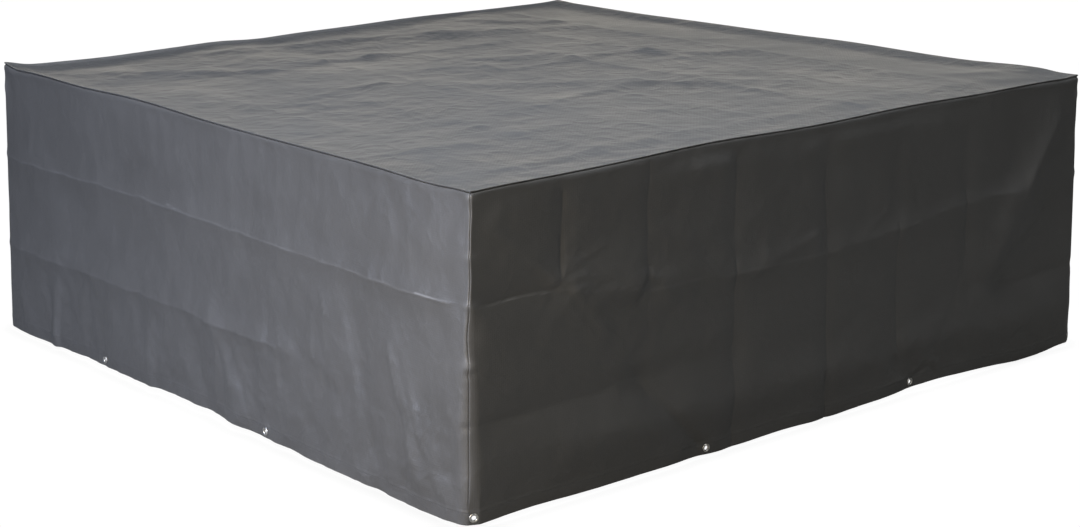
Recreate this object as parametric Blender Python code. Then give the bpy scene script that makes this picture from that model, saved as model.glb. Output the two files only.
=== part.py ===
"""A fitted patio furniture cover: a square hollow of woven sheeting, open below.

One top panel, four wall panels, four hem strips that hold the eyelets, and twelve eyelets.
Metres, +Z up. The origin is on the ground under the middle of the cover. The wall names
are front (-Y), right (+X), back (+Y) and left (-X). Places along a wall are the world x or y.
"""

from collections import namedtuple

import bmesh
import bpy
import numpy as np

MM = 0.001

# ---------------------------------------------------------------- driving dimensions
HALF = 1.0  # half of the square's side at the seam
WALL = 0.704  # mean height of a wall from the hem's edge to the seam
SHEET = 2.0 * MM  # thickness of the cloth
GAP = 0.3 * MM  # between pieces that touch
HEM_LIFT = 9 * MM  # mean height of the hem's edge above the ground
HEM_STRIP = 32 * MM  # height of the band that holds the eyelets
SEAM_RADIUS = 8 * MM  # rounding of a wall's corner at the seam
MITRE_SHARE = 0.3  # of a foot's radius: the corner's width that takes no fold
CORNER_CALM = 90 * MM  # folds die out over this distance from a corner
WAVE_CALM = 120 * MM  # and the waves of the seam and the hem over this one
EAR_SPREAD = 50 * MM  # reach of a corner's ear along the seam
SEAM_BAND = 12 * MM  # the wall's top, which the seam holds straight
SEAM_CALM = 45 * MM  # below that band, folds grow over this distance

EYELET_HOLE = 5.0 * MM  # radii
EYELET_BARREL = 5.7 * MM
EYELET_FLANGE = 10.0 * MM
EYELET_WASHER = 8.5 * MM
CLOTH_HOLE = EYELET_BARREL + GAP
EYELET_PLATE = 0.6 * MM  # thickness of the metal
EYELET_CROWN = 1.5 * MM  # how far the flange's rolled ring stands out
EYELET_ROLL = 1.2 * MM  # width of the roll at the hole and at the rim
EYELET_RISE = 15 * MM  # centre above the hem's edge
EYELET_FLAT = 24 * MM  # width of cloth that each eyelet holds flat

WALL_COLUMNS = 22
FIRST_COLUMN = 70 * MM  # from a corner to its nearest straight column
WALL_ROWS = 12
LAST_ROW = 20 * MM  # from the last row but one up to the seam
TOP_LINES = 29
FIRST_LINE = 100 * MM  # from the seam to the top panel's nearest evenly spaced line
RIM_LINES = (0.0, 15 * MM, 45 * MM)  # and the closer lines round its rim
EYELET_SIDES = 14

# ---------------------------------------------------------------- tables, in mm beside a unit name

# Each corner: its side of the square, how far the seam and the foot stand out from the
# square, the seam's rise into an ear, and the rounding radius at the foot.
Corner = namedtuple("Corner", "side_x side_y seam_x seam_y foot_x foot_y ear radius")
CORNERS = {
    "near": Corner(-1, -1, -3, -6, -25, -10, -2, 38),
    "right": Corner(+1, -1, 0, -2, 24, -20, 4, 45),
    "back": Corner(+1, +1, -13, 8, 18, 19, 3, 40),
    "left": Corner(-1, +1, 20, 1, -21, 8, 13, 50),
}

# Each wall: its corners at the low and high end, the world axis along it, and outwards.
Wall = namedtuple("Wall", "low high axis outward")
WALLS = {
    "front": Wall("near", "right", 0, (0, -1)),
    "right": Wall("right", "back", 1, (1, 0)),
    "back": Wall("left", "back", 0, (0, 1)),
    "left": Wall("near", "left", 1, (-1, 0)),
}

# How the seam waves up and down: centre and spread in metres, rise in mm.
Wave = namedtuple("Wave", "wall centre spread rise")
SEAM_WAVES = (
    Wave("front", -0.32, 0.24, 8),
    Wave("front", 0.34, 0.26, 7),
    Wave("front", 0.82, 0.20, 4),
    Wave("left", 0.30, 0.26, 9),
    Wave("left", 0.80, 0.16, 6),
    Wave("left", -0.86, 0.14, -5),
    Wave("back", -0.70, 0.16, -4),
    Wave("back", -0.10, 0.70, -2),
    Wave("back", -0.32, 0.10, 3),
    Wave("back", -0.19, 0.10, -4),
    Wave("back", 0.40, 0.22, 4),
    Wave("right", 0.62, 0.24, -3),
    Wave("right", -0.25, 0.20, 4),
    Wave("right", -0.85, 0.14, 8),
)

# How the hem waves up and down.
HEM_WAVES = (
    Wave("left", 0.08, 0.30, 9),
    Wave("left", 0.52, 0.12, 4),
    Wave("left", -0.82, 0.26, -5),
    Wave("front", -0.84, 0.12, 4),
    Wave("front", -0.25, 0.09, -4),
    Wave("front", 0.44, 0.13, 8),
    Wave("front", 0.05, 0.08, -5),
    Wave("front", 0.80, 0.11, -10),
    Wave("right", -0.40, 0.22, 5),
    Wave("right", 0.25, 0.16, -6),
    Wave("right", 0.70, 0.18, 5),
    Wave("back", 0.50, 0.20, -7),
    Wave("back", -0.05, 0.24, 6),
    Wave("back", -0.60, 0.20, -4),
)

# Folds of the walls, from one point (along, height) to another in metres; spread across the
# fold and lift outwards in mm.
Fold = namedtuple("Fold", "wall a_along a_height b_along b_height spread lift")
FOLDS = (
    # creases from being folded flat, one third and two thirds of the way up
    Fold("front", -1.00, 0.465, -0.76, 0.462, 34, -5),
    Fold("front", -0.76, 0.462, -0.25, 0.408, 34, 4),
    Fold("front", -0.25, 0.408, 0.30, 0.406, 34, 4),
    Fold("front", 0.30, 0.406, 1.00, 0.450, 34, 4),
    Fold("front", -1.00, 0.210, -0.25, 0.222, 34, -4),
    Fold("front", 0.58, 0.222, 1.00, 0.208, 34, -6),
    Fold("left", -1.00, 0.465, 1.00, 0.462, 34, 5),
    Fold("left", -0.35, 0.228, 1.00, 0.228, 34, 6),
    Fold("right", -1.00, 0.460, 1.00, 0.465, 34, 4),
    Fold("right", -1.00, 0.225, 0.60, 0.228, 34, -5),
    Fold("back", -1.00, 0.462, 1.00, 0.465, 34, 5),
    Fold("back", -0.50, 0.228, 1.00, 0.225, 34, -4),
    # upright creases of the same folding, a quarter of a metre apart
    Fold("front", -0.76, 0.46, -0.76, 0.69, 30, -4),
    Fold("front", -0.51, 0.42, -0.51, 0.69, 30, -3),
    Fold("front", -0.247, 0.00, -0.247, 0.69, 30, -4),
    Fold("front", 0.055, 0.00, 0.055, 0.69, 30, -4),
    Fold("front", 0.298, 0.08, 0.298, 0.60, 30, -3),
    Fold("front", 0.555, 0.28, 0.555, 0.60, 30, -3),
    Fold("right", -0.50, 0.00, -0.50, 0.69, 30, -4),
    Fold("right", 0.00, 0.00, 0.00, 0.69, 30, -4),
    Fold("right", 0.50, 0.10, 0.50, 0.69, 30, 4),
    Fold("back", -0.54, 0.20, -0.54, 0.69, 30, -4),
    Fold("back", 0.00, 0.00, 0.00, 0.69, 30, 4),
    Fold("back", 0.50, 0.00, 0.50, 0.60, 30, -4),
    # slack folds of the front wall: the star, the pulls above eyelets, the long diagonals
    Fold("front", -0.76, 0.48, -0.64, 0.34, 30, 4),
    Fold("front", -0.53, 0.21, -0.36, 0.03, 38, -6),
    Fold("front", 0.25, 0.13, 0.36, 0.03, 34, -5),
    Fold("front", 0.62, 0.22, 0.90, 0.58, 55, 8),
    Fold("front", 0.72, 0.22, 0.96, 0.40, 60, -6),
    Fold("front", -0.20, 0.06, 0.60, 0.10, 90, -5),
    # slack folds of the left wall, fanning down to the hem
    Fold("left", -0.74, 0.33, -0.84, 0.08, 36, 7),
    Fold("left", -0.60, 0.36, -0.70, 0.02, 40, -5),
    Fold("left", -0.84, 0.20, -0.94, 0.03, 30, 5),
    Fold("left", -0.05, 0.22, -0.17, 0.00, 40, 8),
    Fold("left", 0.06, 0.20, -0.03, 0.00, 42, -6),
    Fold("left", 0.24, 0.20, 0.24, 0.00, 40, 5),
    Fold("left", 0.71, 0.15, 0.72, 0.00, 26, 8),
    Fold("left", 0.62, 0.40, 0.10, 0.36, 70, -5),
    # slack folds of the two walls behind
    Fold("right", -0.78, 0.30, -0.62, 0.02, 45, 7),
    Fold("right", -0.20, 0.40, -0.05, 0.05, 50, -6),
    Fold("right", 0.30, 0.26, 0.42, 0.00, 45, 7),
    Fold("right", 0.66, 0.55, 0.86, 0.18, 55, 7),
    Fold("back", -0.86, 0.40, -0.70, 0.02, 50, 7),
    Fold("back", -0.30, 0.30, -0.38, 0.00, 45, -6),
    Fold("back", 0.22, 0.32, 0.12, 0.00, 45, 7),
    Fold("back", 0.70, 0.52, 0.84, 0.10, 55, -6),
)

# The top panel's inner slope below the seam: its depth and width in mm, for each wall.
RIM_DEPTH = {"front": 8, "right": 7, "back": 6, "left": 8}
RIM_WIDTH = {"front": 12, "right": 48, "back": 10, "left": 12}
RIM_BLEND = 80 * MM  # how near a corner two walls' rims blend
TOP_SAG = 2 * MM  # the middle hangs this much lower than the rim's foot
SAG_REACH = 0.6  # from the seam to where the sag is full, in metres

# Creases of the top panel, from one point to another in metres; spread and lift in mm.
Crease = namedtuple("Crease", "a_x a_y b_x b_y spread lift")
CREASES = (
    # folded in strips: low ridges along y
    Crease(-0.78, -0.95, -0.78, 0.70, 26, 1),
    Crease(-0.54, -0.95, -0.54, 0.60, 26, 1.2),
    Crease(-0.28, -0.95, -0.28, 0.60, 26, 1.5),
    Crease(0.00, -0.95, 0.00, 0.60, 26, 1.5),
    Crease(0.26, -0.95, 0.26, 0.50, 26, 1.5),
    Crease(0.495, -0.70, 0.495, 0.50, 26, 1.5),
    Crease(0.715, -0.80, 0.715, 0.92, 26, 2),
    # the long soft ridge near the back edge, and the one in front of it
    Crease(-0.44, 0.90, 0.02, 0.83, 52, 7),
    Crease(0.02, 0.83, 0.30, 0.73, 52, 7),
    Crease(0.30, 0.73, 0.66, 0.59, 52, 7),
    Crease(-0.78, 0.80, -0.47, 0.54, 44, 4),
    Crease(-0.47, 0.54, -0.10, 0.55, 40, 5),
    Crease(-0.10, 0.55, 0.32, 0.48, 40, 5),
    # cross creases
    Crease(-0.85, 0.11, -0.55, 0.13, 34, 2),
    Crease(-0.55, 0.13, 0.25, 0.11, 34, 2),
    Crease(0.26, 0.12, 0.50, 0.07, 36, 4),
    Crease(0.50, 0.07, 0.68, -0.10, 36, 4),
    Crease(-0.25, 0.02, 0.10, -0.24, 40, 5),
    Crease(-0.20, -0.34, 0.12, -0.28, 36, 4),
    Crease(0.12, -0.28, 0.41, -0.56, 36, 5),
    Crease(-0.90, -0.59, -0.10, -0.60, 34, 2),
    Crease(0.00, -0.58, 0.60, -0.64, 34, 2),
    Crease(-0.92, -0.86, 0.70, -0.865, 34, 3),
    Crease(0.55, 0.88, 0.70, 0.70, 40, 4),
    Crease(0.80, -0.77, 0.90, -0.85, 36, 4),
    # hollows between the ridges
    Crease(-0.60, 0.34, 0.20, 0.30, 90, -3),
    Crease(-0.10, -0.12, 0.60, -0.20, 80, -2),
    Crease(-0.70, -0.20, -0.40, -0.45, 110, -3),
    Crease(-0.20, 0.71, 0.30, 0.61, 50, -3),
)

# Where the eyelets are along the hem: two on each wall, and one on the turn of each corner,
# at -1 or 1, on the front and the back.
EYELETS = (
    ("front", -1.0),
    ("front", -0.329),
    ("front", 0.358),
    ("front", 1.0),
    ("right", -0.310),
    ("right", 0.350),
    ("back", 1.0),
    ("back", 0.310),
    ("back", -0.360),
    ("back", -1.0),
    ("left", 0.462),
    ("left", -0.265),
)


# ---------------------------------------------------------------- the cloth's surface


def calm(distance, reach):
    """0 at no distance, 1 at the reach and beyond, with a level start and end."""
    share = np.clip(distance / reach, 0.0, 1.0)
    return share * share * (3.0 - 2.0 * share)


def ridge(x, y, ax, ay, bx, by, spread):
    """1 along the segment from a to b, fading as a bell across it and past its ends."""
    length = np.hypot(bx - ax, by - ay)
    ux, uy = (bx - ax) / length, (by - ay) / length
    along = (x - ax) * ux + (y - ay) * uy
    past = np.maximum(np.maximum(-along, along - length), 0.0)
    across = (x - ax) * uy - (y - ay) * ux
    return np.exp(-(across**2 + past**2) / spread**2)


def waves(table, wall, along):
    """The sum of a table's bells along one wall."""
    total = np.zeros_like(along)
    for row in table:
        if row.wall == wall:
            total = total + row.rise * MM * np.exp(-(((along - row.centre) / row.spread) ** 2))
    return total


def seam_height(wall, along):
    """Height of the seam: the mean, its waves, and an ear at each corner."""
    low, high = CORNERS[WALLS[wall].low], CORNERS[WALLS[wall].high]
    inner = calm(HALF - np.abs(along), WAVE_CALM)
    ears = low.ear * MM * np.exp(-(((along + HALF) / EAR_SPREAD) ** 2))
    ears = ears + high.ear * MM * np.exp(-(((HALF - along) / EAR_SPREAD) ** 2))
    return HEM_LIFT + WALL + ears + inner * waves(SEAM_WAVES, wall, along)


def hem_height(wall, along):
    """Height of the hem's edge above the ground."""
    return HEM_LIFT + calm(HALF - np.abs(along), WAVE_CALM) * waves(HEM_WAVES, wall, along)


def fold_lift(wall, along, height, mitre):
    """How far the folds carry the wall outwards: none within the mitre's distance of a corner."""
    total = np.zeros(np.broadcast(along, height).shape)
    for row in FOLDS:
        if row.wall == wall:
            shape = ridge(
                along, height, row.a_along, row.a_height, row.b_along, row.b_height, row.spread * MM
            )
            total = total + row.lift * MM * shape
    corner_room = calm(HALF - np.abs(along) - mitre, CORNER_CALM)
    return total * corner_room * calm(WALL - SEAM_BAND - height, SEAM_CALM)


def corner_point(name, share):
    """A corner's plan position, share 0 at the foot and 1 at the seam."""
    row = CORNERS[name]
    out_x = (row.foot_x + (row.seam_x - row.foot_x) * share) * MM
    out_y = (row.foot_y + (row.seam_y - row.foot_y) * share) * MM
    return row.side_x * HALF + out_x, row.side_y * HALF + out_y


def wall_point(wall, turn, along, height):
    """World points of a wall's outer face, at a height measured up the cloth from the hem.

    The plan line runs straight from corner to corner. Where along is -1 or 1 it is on the turn
    of that corner instead: the turn is pi/4 at the mitre and 0 where the straight begins, on a
    circle whose radius shrinks from the foot to the seam. The folds move the line outwards, and
    in the hem strip it is plumb.
    """
    row = WALLS[wall]
    low, high = CORNERS[row.low], CORNERS[row.high]
    level = np.maximum(height, HEM_STRIP)
    share = (level - HEM_STRIP) / (WALL - HEM_STRIP)
    foot_radius = np.where(along < 0, low.radius, high.radius) * MM
    radius = foot_radius + (SEAM_RADIUS - foot_radius) * share
    end = np.abs(along) >= HALF
    pulled_in = np.where(end, radius * (1.0 - np.sin(turn)), 0.0)
    inwards = np.where(end, radius * (1.0 - np.cos(turn)), 0.0)
    across = along - np.sign(along) * pulled_in
    part = (along + HALF) / (2 * HALF)
    low_x, low_y = corner_point(row.low, share)
    high_x, high_y = corner_point(row.high, share)
    out = fold_lift(wall, across, level, MITRE_SHARE * foot_radius) - inwards
    moved = -np.sign(along) * pulled_in
    x = low_x + (high_x - low_x) * part + row.outward[0] * out + moved * (row.axis == 0)
    y = low_y + (high_y - low_y) * part + row.outward[1] * out + moved * (row.axis == 1)
    hem = hem_height(wall, across)
    z = hem + (seam_height(wall, across) - hem) * height / WALL
    return np.stack(np.broadcast_arrays(x, y, z), axis=-1)


def inner_face(wall, outer, depth):
    """Each row of points carried inwards, square to the plan line, by the depth.

    At a bend the point moves along the bend's bisector, and at both ends along the corner's
    diagonal, so that walls meet in a mitre and the cloth is equally thick everywhere.
    """
    plan = np.diff(outer[..., :2], axis=-2)
    normal = np.stack([plan[..., 1], -plan[..., 0]], axis=-1)
    normal /= np.linalg.norm(normal, axis=-1, keepdims=True)
    inwards = -np.array(WALLS[wall].outward, float)
    normal *= np.sign(normal @ inwards)[..., None]
    before, after = normal[..., :-1, :], normal[..., 1:, :]
    bisector = (before + after) / (1.0 + np.sum(before * after, axis=-1, keepdims=True))
    ends = []
    for name, beside in ((WALLS[wall].low, normal[..., :1, :]), (WALLS[wall].high, normal[..., -1:, :])):
        corner = CORNERS[name]
        diagonal = -np.array([corner.side_x, corner.side_y]) / np.sqrt(2.0)
        ends.append(diagonal / (beside @ diagonal)[..., None])
    moved = outer.copy()
    moved[..., :2] += depth * np.concatenate([ends[0], bisector, ends[1]], axis=-2)
    return moved


# ---------------------------------------------------------------- meshes


def grid_corners(grid):
    """The four corners of each cell of a grid, in order round the cell."""
    return grid[:-1, :-1], grid[:-1, 1:], grid[1:, 1:], grid[1:, :-1]


def closed_sheet(name, outer, inner, material):
    """A solid between two grids of points of the same shape, closed round its four edges.

    Each cell is cut along the outer face's shorter diagonal on both faces, so that they stay
    the same distance apart where a fold twists the cell.
    """
    rows, columns = outer.shape[:2]
    points = np.concatenate([outer.reshape(-1, 3), inner.reshape(-1, 3)])
    index = np.arange(rows * columns).reshape(rows, columns)
    p, q, r, s = grid_corners(outer)
    cut_p = np.linalg.norm(r - p, axis=-1) <= np.linalg.norm(s - q, axis=-1)
    a, b, c, d = grid_corners(index)
    from_p = np.stack([a, b, c, a, c, d], axis=-1)
    from_q = np.stack([a, b, d, b, c, d], axis=-1)
    triangles = np.where(cut_p[..., None], from_p, from_q).reshape(-1, 3)
    faces = triangles.tolist() + (triangles[:, ::-1] + rows * columns).tolist()
    ring = np.concatenate([index[0, :-1], index[:-1, -1], index[-1, :0:-1], index[:0:-1, 0]])
    for a, b in zip(ring, np.roll(ring, -1)):
        faces.append([int(b), int(a), int(a) + rows * columns, int(b) + rows * columns])
    mesh = bpy.data.meshes.new(name)
    mesh.from_pydata(points.tolist(), [], faces)
    return finished_object(name, mesh, material)


def finished_object(name, mesh, material):
    """An object with its faces turned outwards and its material on."""
    shape = bmesh.new()
    shape.from_mesh(mesh)
    bmesh.ops.recalc_face_normals(shape, faces=shape.faces)
    shape.to_mesh(mesh)
    shape.free()
    mesh.materials.append(material)
    mesh.shade_smooth()
    mesh.set_sharp_from_angle(angle=np.radians(35))
    piece = bpy.data.objects.new(name, mesh)
    bpy.context.collection.objects.link(piece)
    return piece


def plain_material(name, colour, roughness, metallic=0.0):
    """A Principled material of one colour."""
    material = bpy.data.materials.new(name)
    material.use_nodes = True
    shader = material.node_tree.nodes["Principled BSDF"]
    shader.inputs["Base Color"].default_value = (*colour, 1.0)
    shader.inputs["Roughness"].default_value = roughness
    shader.inputs["Metallic"].default_value = metallic
    return material


def nearest_moved(values, wanted):
    """Evenly spaced values, with the nearest one moved onto each wanted place."""
    values = np.array(values)
    for place in wanted:
        values[np.argmin(np.abs(values - place))] = place
    return np.sort(values)


def flat_turn(wall, along):
    """The turn at which a corner's flat for an eyelet ends; it starts at the mitre."""
    row = WALLS[wall]
    radius = CORNERS[row.low if along < 0 else row.high].radius * MM
    return np.radians(45.0) - 2.0 * np.arcsin(EYELET_FLAT / (2.0 * radius))


def wall_columns(wall):
    """The columns of a wall as (turn, along): a short turn at each end, and straight ones.

    The straight ones lie on the wall's upright creases and on both sides of each eyelet.
    """
    upright = {row.a_along for row in FOLDS if row.wall == wall and row.a_along == row.b_along}
    reach = HALF - FIRST_COLUMN
    straight = nearest_moved(np.linspace(-reach, reach, WALL_COLUMNS), sorted(upright))
    middle_turns = {-HALF: np.radians(22.5), HALF: np.radians(22.5)}
    for side, along in EYELETS:
        if side == wall and abs(along) >= HALF:
            middle_turns[along] = flat_turn(wall, along)
        elif side == wall:
            edges = [along - EYELET_FLAT / 2, along + EYELET_FLAT / 2]
            apart = np.min(np.abs(straight[:, None] - edges), axis=1) > EYELET_FLAT / 2
            straight = np.sort(np.concatenate([straight[apart], edges]))
    low_turns = [np.radians(45.0), middle_turns[-HALF], 0.0]
    high_turns = [0.0, middle_turns[HALF], np.radians(45.0)]
    turn = np.concatenate([low_turns, np.zeros(len(straight)), high_turns])
    along = np.concatenate([np.full(3, -HALF), straight, np.full(3, HALF)])
    return turn, along


def wall_grid(wall, heights):
    """Outer points of a wall at every height and column, kept off the mitre at both ends."""
    turn, along = wall_columns(wall)
    points = wall_point(wall, turn[None, :], along[None, :], np.asarray(heights)[:, None])
    off_mitre = GAP / np.sqrt(2.0)
    points[:, 0, WALLS[wall].axis] += off_mitre
    points[:, -1, WALLS[wall].axis] -= off_mitre
    return points


def make_walls(material):
    """Four wall panels, from just above the hem strip to the seam."""
    creases = (0.210, 0.228, 0.462)
    for wall in WALLS:
        heights = nearest_moved(np.linspace(HEM_STRIP + GAP, WALL - LAST_ROW, WALL_ROWS), creases)
        heights = np.append(heights, WALL)
        outer = wall_grid(wall, heights)
        closed_sheet("wall_" + wall, outer, inner_face(wall, outer, SHEET), material)


def eyelet_frame(wall, along):
    """An eyelet's centre on the cloth's outer face, and its outward direction.

    The cloth is flat between two columns there, so both come from the line between them.
    """
    if abs(along) >= HALF:
        turn = np.array([np.radians(45.0), flat_turn(wall, along)])
        around = np.full(2, along)
    else:
        turn = np.zeros(2)
        around = along + np.array([-0.5, 0.5]) * EYELET_FLAT
    first, second = wall_point(wall, turn, around, np.full(2, EYELET_RISE))
    chord = second - first
    outward = np.array([chord[1], -chord[0], 0.0])
    outward *= np.sign(outward[:2] @ np.array(WALLS[wall].outward))
    return (first + second) / 2, outward / np.linalg.norm(outward)


def spokes(outward):
    """Unit vectors square to the outward direction, one for each side of an eyelet."""
    angles = (np.arange(EYELET_SIDES) + 0.5) * 2 * np.pi / EYELET_SIDES
    side = np.array([outward[1], -outward[0], 0.0])
    up = np.array([0.0, 0.0, 1.0])
    return np.cos(angles)[:, None] * side + np.sin(angles)[:, None] * up


def turned_ring(name, profile, centre, outward):
    """A closed profile of (radius, depth) turned about the outward direction at a centre."""
    radius, depth = np.array(profile).T
    round_it = spokes(outward)[:, None, :]
    points = centre + radius[None, :, None] * round_it + depth[None, :, None] * outward
    count = len(profile)
    faces = []
    for i in range(EYELET_SIDES):
        for j in range(count):
            a, b = i * count + j, i * count + (j + 1) % count
            c, d = (b + count) % (count * EYELET_SIDES), (a + count) % (count * EYELET_SIDES)
            faces.append([a, b, c, d])
    mesh = bpy.data.meshes.new(name)
    mesh.from_pydata(points.reshape(-1, 3).tolist(), [], faces)
    return mesh


def make_eyelets(material):
    """Twelve pressed eyelets: a barrel through the cloth with a flange on each face."""
    front, behind = GAP, -SHEET - GAP
    profile = (
        (EYELET_HOLE, behind - EYELET_PLATE),
        (EYELET_HOLE, front + EYELET_CROWN - EYELET_PLATE),
        (EYELET_HOLE + EYELET_ROLL, front + EYELET_CROWN),
        (EYELET_FLANGE - EYELET_ROLL, front + EYELET_CROWN - EYELET_PLATE / 2),
        (EYELET_FLANGE, front),
        (EYELET_BARREL, front),
        (EYELET_BARREL, behind),
        (EYELET_WASHER, behind),
        (EYELET_WASHER, behind - EYELET_PLATE),
    )
    for number, (wall, along) in enumerate(EYELETS, start=1):
        name = f"eyelet_{number:02d}"
        centre, outward = eyelet_frame(wall, along)
        finished_object(name, turned_ring(name, profile, centre, outward), material)


def hole_cutter(wall, material):
    """The cylinders that pierce one wall's hem strip, as one hidden object."""
    radius = CLOTH_HOLE / np.cos(np.pi / EYELET_SIDES)
    points, faces = [], []
    for side, along in EYELETS:
        if side != wall:
            continue
        centre, outward = eyelet_frame(wall, along)
        near = [len(points) + i for i in range(EYELET_SIDES)]
        far = [i + EYELET_SIDES for i in near]
        for depth in (-EYELET_FLANGE, EYELET_FLANGE):
            points.extend((centre + depth * outward + radius * spokes(outward)).tolist())
        faces.extend([near[::-1], far])
        faces.extend([near[i - 1], near[i], far[i], far[i - 1]] for i in range(EYELET_SIDES))
    mesh = bpy.data.meshes.new("holes_" + wall)
    mesh.from_pydata(points, [], faces)
    cutter = finished_object("holes_" + wall, mesh, material)
    cutter.hide_render = True
    cutter.display_type = "WIRE"
    return cutter


def make_hem_strips(material):
    """Four bands below the walls, plumb and pierced for the eyelets."""
    for wall in WALLS:
        outer = wall_grid(wall, [0.0, HEM_STRIP])
        strip = closed_sheet("hem_" + wall, outer, inner_face(wall, outer, SHEET), material)
        cut = strip.modifiers.new("eyelet holes", "BOOLEAN")
        cut.operation = "DIFFERENCE"
        cut.object = hole_cutter(wall, material)


def edge_blend(values_front, values_back, values_left, values_right, u, v):
    """A surface through four edge lines: each pair blended, less the blend of the corners."""
    corners = (
        (1 - u) * (1 - v) * values_front[0]
        + u * (1 - v) * values_front[-1]
        + (1 - u) * v * values_back[0]
        + u * v * values_back[-1]
    )
    return (
        (1 - v) * values_front[None, :]
        + v * values_back[None, :]
        + (1 - u) * values_left[:, None]
        + u * values_right[:, None]
        - corners
    )


def top_lines():
    """Places of the top panel's grid lines: closer at the rim, and on the strip creases."""
    folds = sorted({row.a_x for row in CREASES if row.a_x == row.b_x})
    reach = HALF - FIRST_LINE
    middle = nearest_moved(np.linspace(-reach, reach, TOP_LINES), folds)
    rim = HALF - np.array(RIM_LINES)
    return np.concatenate([-rim, middle, rim[::-1]])


def line_distance(line, wall):
    """Distance of each grid point from one wall's seam, 0 on the seam itself."""
    row = WALLS[wall]
    distance = HALF - sum(row.outward) * line
    return distance[:, None] if row.axis == 0 else distance[None, :]


def make_top(material):
    """The top panel: its rim meets the walls at the seam, and inside it sags and creases."""
    line = top_lines()
    u = (line[None, :] + HALF) / (2 * HALF)
    v = (line[:, None] + HALF) / (2 * HALF)
    turn = np.where(np.abs(line) >= HALF, np.radians(45.0), 0.0)
    edges = {}
    for wall in WALLS:
        edge = wall_point(wall, turn, line, np.full(len(line), WALL))
        edges[wall] = inner_face(wall, edge, SHEET + GAP)
    sheet = [
        edge_blend(*(edges[wall][:, k] for wall in ("front", "back", "left", "right")), u, v)
        for k in range(3)
    ]
    x, y, z = sheet
    depth, weight, inside = 0.0, 0.0, 1.0
    for wall in WALLS:
        # each wall's rim depth counts more, the nearer its seam is
        distance = line_distance(line, wall)
        share = 1.0 / (distance + RIM_BLEND) ** 2
        depth = depth + share * RIM_DEPTH[wall] * MM
        weight = weight + share
        inside = inside * (1.0 - np.exp(-((distance / (RIM_WIDTH[wall] * MM)) ** 2)))
    z = z - inside * depth / weight
    nearest = np.minimum(HALF - np.abs(line)[:, None], HALF - np.abs(line)[None, :])
    z = z - TOP_SAG * calm(nearest, SAG_REACH)
    for row in CREASES:
        lift = row.lift * MM * ridge(x, y, row.a_x, row.a_y, row.b_x, row.b_y, row.spread * MM)
        z = z + inside * lift
    upper = np.stack([x, y, z], axis=-1)
    closed_sheet("top_panel", upper, upper - np.array([0.0, 0.0, SHEET]), material)


def main():
    for piece in list(bpy.data.objects):
        bpy.data.objects.remove(piece)
    cloth = plain_material("woven_sheeting", (0.085, 0.086, 0.09), 0.55)
    hem_cloth = plain_material("hem_sheeting", (0.075, 0.076, 0.08), 0.55)
    eyelet_metal = plain_material("pressed_aluminium", (0.72, 0.72, 0.70), 0.35, 1.0)
    make_top(cloth)
    make_walls(cloth)
    make_hem_strips(hem_cloth)
    make_eyelets(eyelet_metal)


main()
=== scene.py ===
"""Looks of a square patio furniture cover: thin cloth, folds, creases, eyelets and stitches.

Metres, +Z up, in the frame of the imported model. Each piece of cloth follows its solid's
surface, worked out again here from the same sizes, with the finer creases added to it.
"""

from collections import namedtuple
from functools import partial

import bpy
import numpy as np
from mathutils import Matrix, Vector


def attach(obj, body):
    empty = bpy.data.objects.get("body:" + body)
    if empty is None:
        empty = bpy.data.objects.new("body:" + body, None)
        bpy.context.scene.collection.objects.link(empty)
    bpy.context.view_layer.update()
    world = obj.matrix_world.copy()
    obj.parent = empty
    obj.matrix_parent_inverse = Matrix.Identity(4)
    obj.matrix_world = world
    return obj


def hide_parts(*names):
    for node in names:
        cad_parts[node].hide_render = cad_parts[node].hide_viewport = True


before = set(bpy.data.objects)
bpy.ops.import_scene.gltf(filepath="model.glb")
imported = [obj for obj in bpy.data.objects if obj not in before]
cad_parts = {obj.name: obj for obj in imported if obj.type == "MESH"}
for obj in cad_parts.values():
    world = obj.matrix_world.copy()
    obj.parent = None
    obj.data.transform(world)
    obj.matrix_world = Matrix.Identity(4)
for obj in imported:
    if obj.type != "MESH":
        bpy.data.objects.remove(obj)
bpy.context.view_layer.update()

MM = 0.001
MITRE_TURN = np.radians(45.0)  # the turn of a corner's rounding at which two walls meet

# ---------------------------------------------------------------- sizes of the solids

HALF = 1.0  # half of the square's side at the seam
WALL = 0.704  # mean height of a wall from the hem's edge to the seam
HEM_LIFT = 9 * MM  # mean height of the hem's edge above the ground
HEM_STRIP = 32 * MM  # height of the band that holds the eyelets
SEAM_RADIUS = 8 * MM  # rounding of the top's corners in plan
MITRE_SHARE = 0.3  # folds end this share of the corner's radius from the end of a wall
CORNER_CALM = 90 * MM  # folds, and the waves of the seam and hem, grow to full size over these
WAVE_CALM = 120 * MM
EAR_SPREAD = 50 * MM
SEAM_BAND = 12 * MM  # no fold reaches this near the seam; below, they grow to full size
SEAM_CALM = 45 * MM
EYELET_RISE = 15 * MM  # height of an eyelet's middle above the hem's edge
EYELET_FLAT = 24 * MM  # width of the flat that the flange holds
RIM_BLEND = 80 * MM  # how gradually the rim's depth goes from one wall's to the next
TOP_SAG = 2 * MM
SAG_REACH = 0.6

# ---------------------------------------------------------------- sizes of the finer cloth

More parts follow.
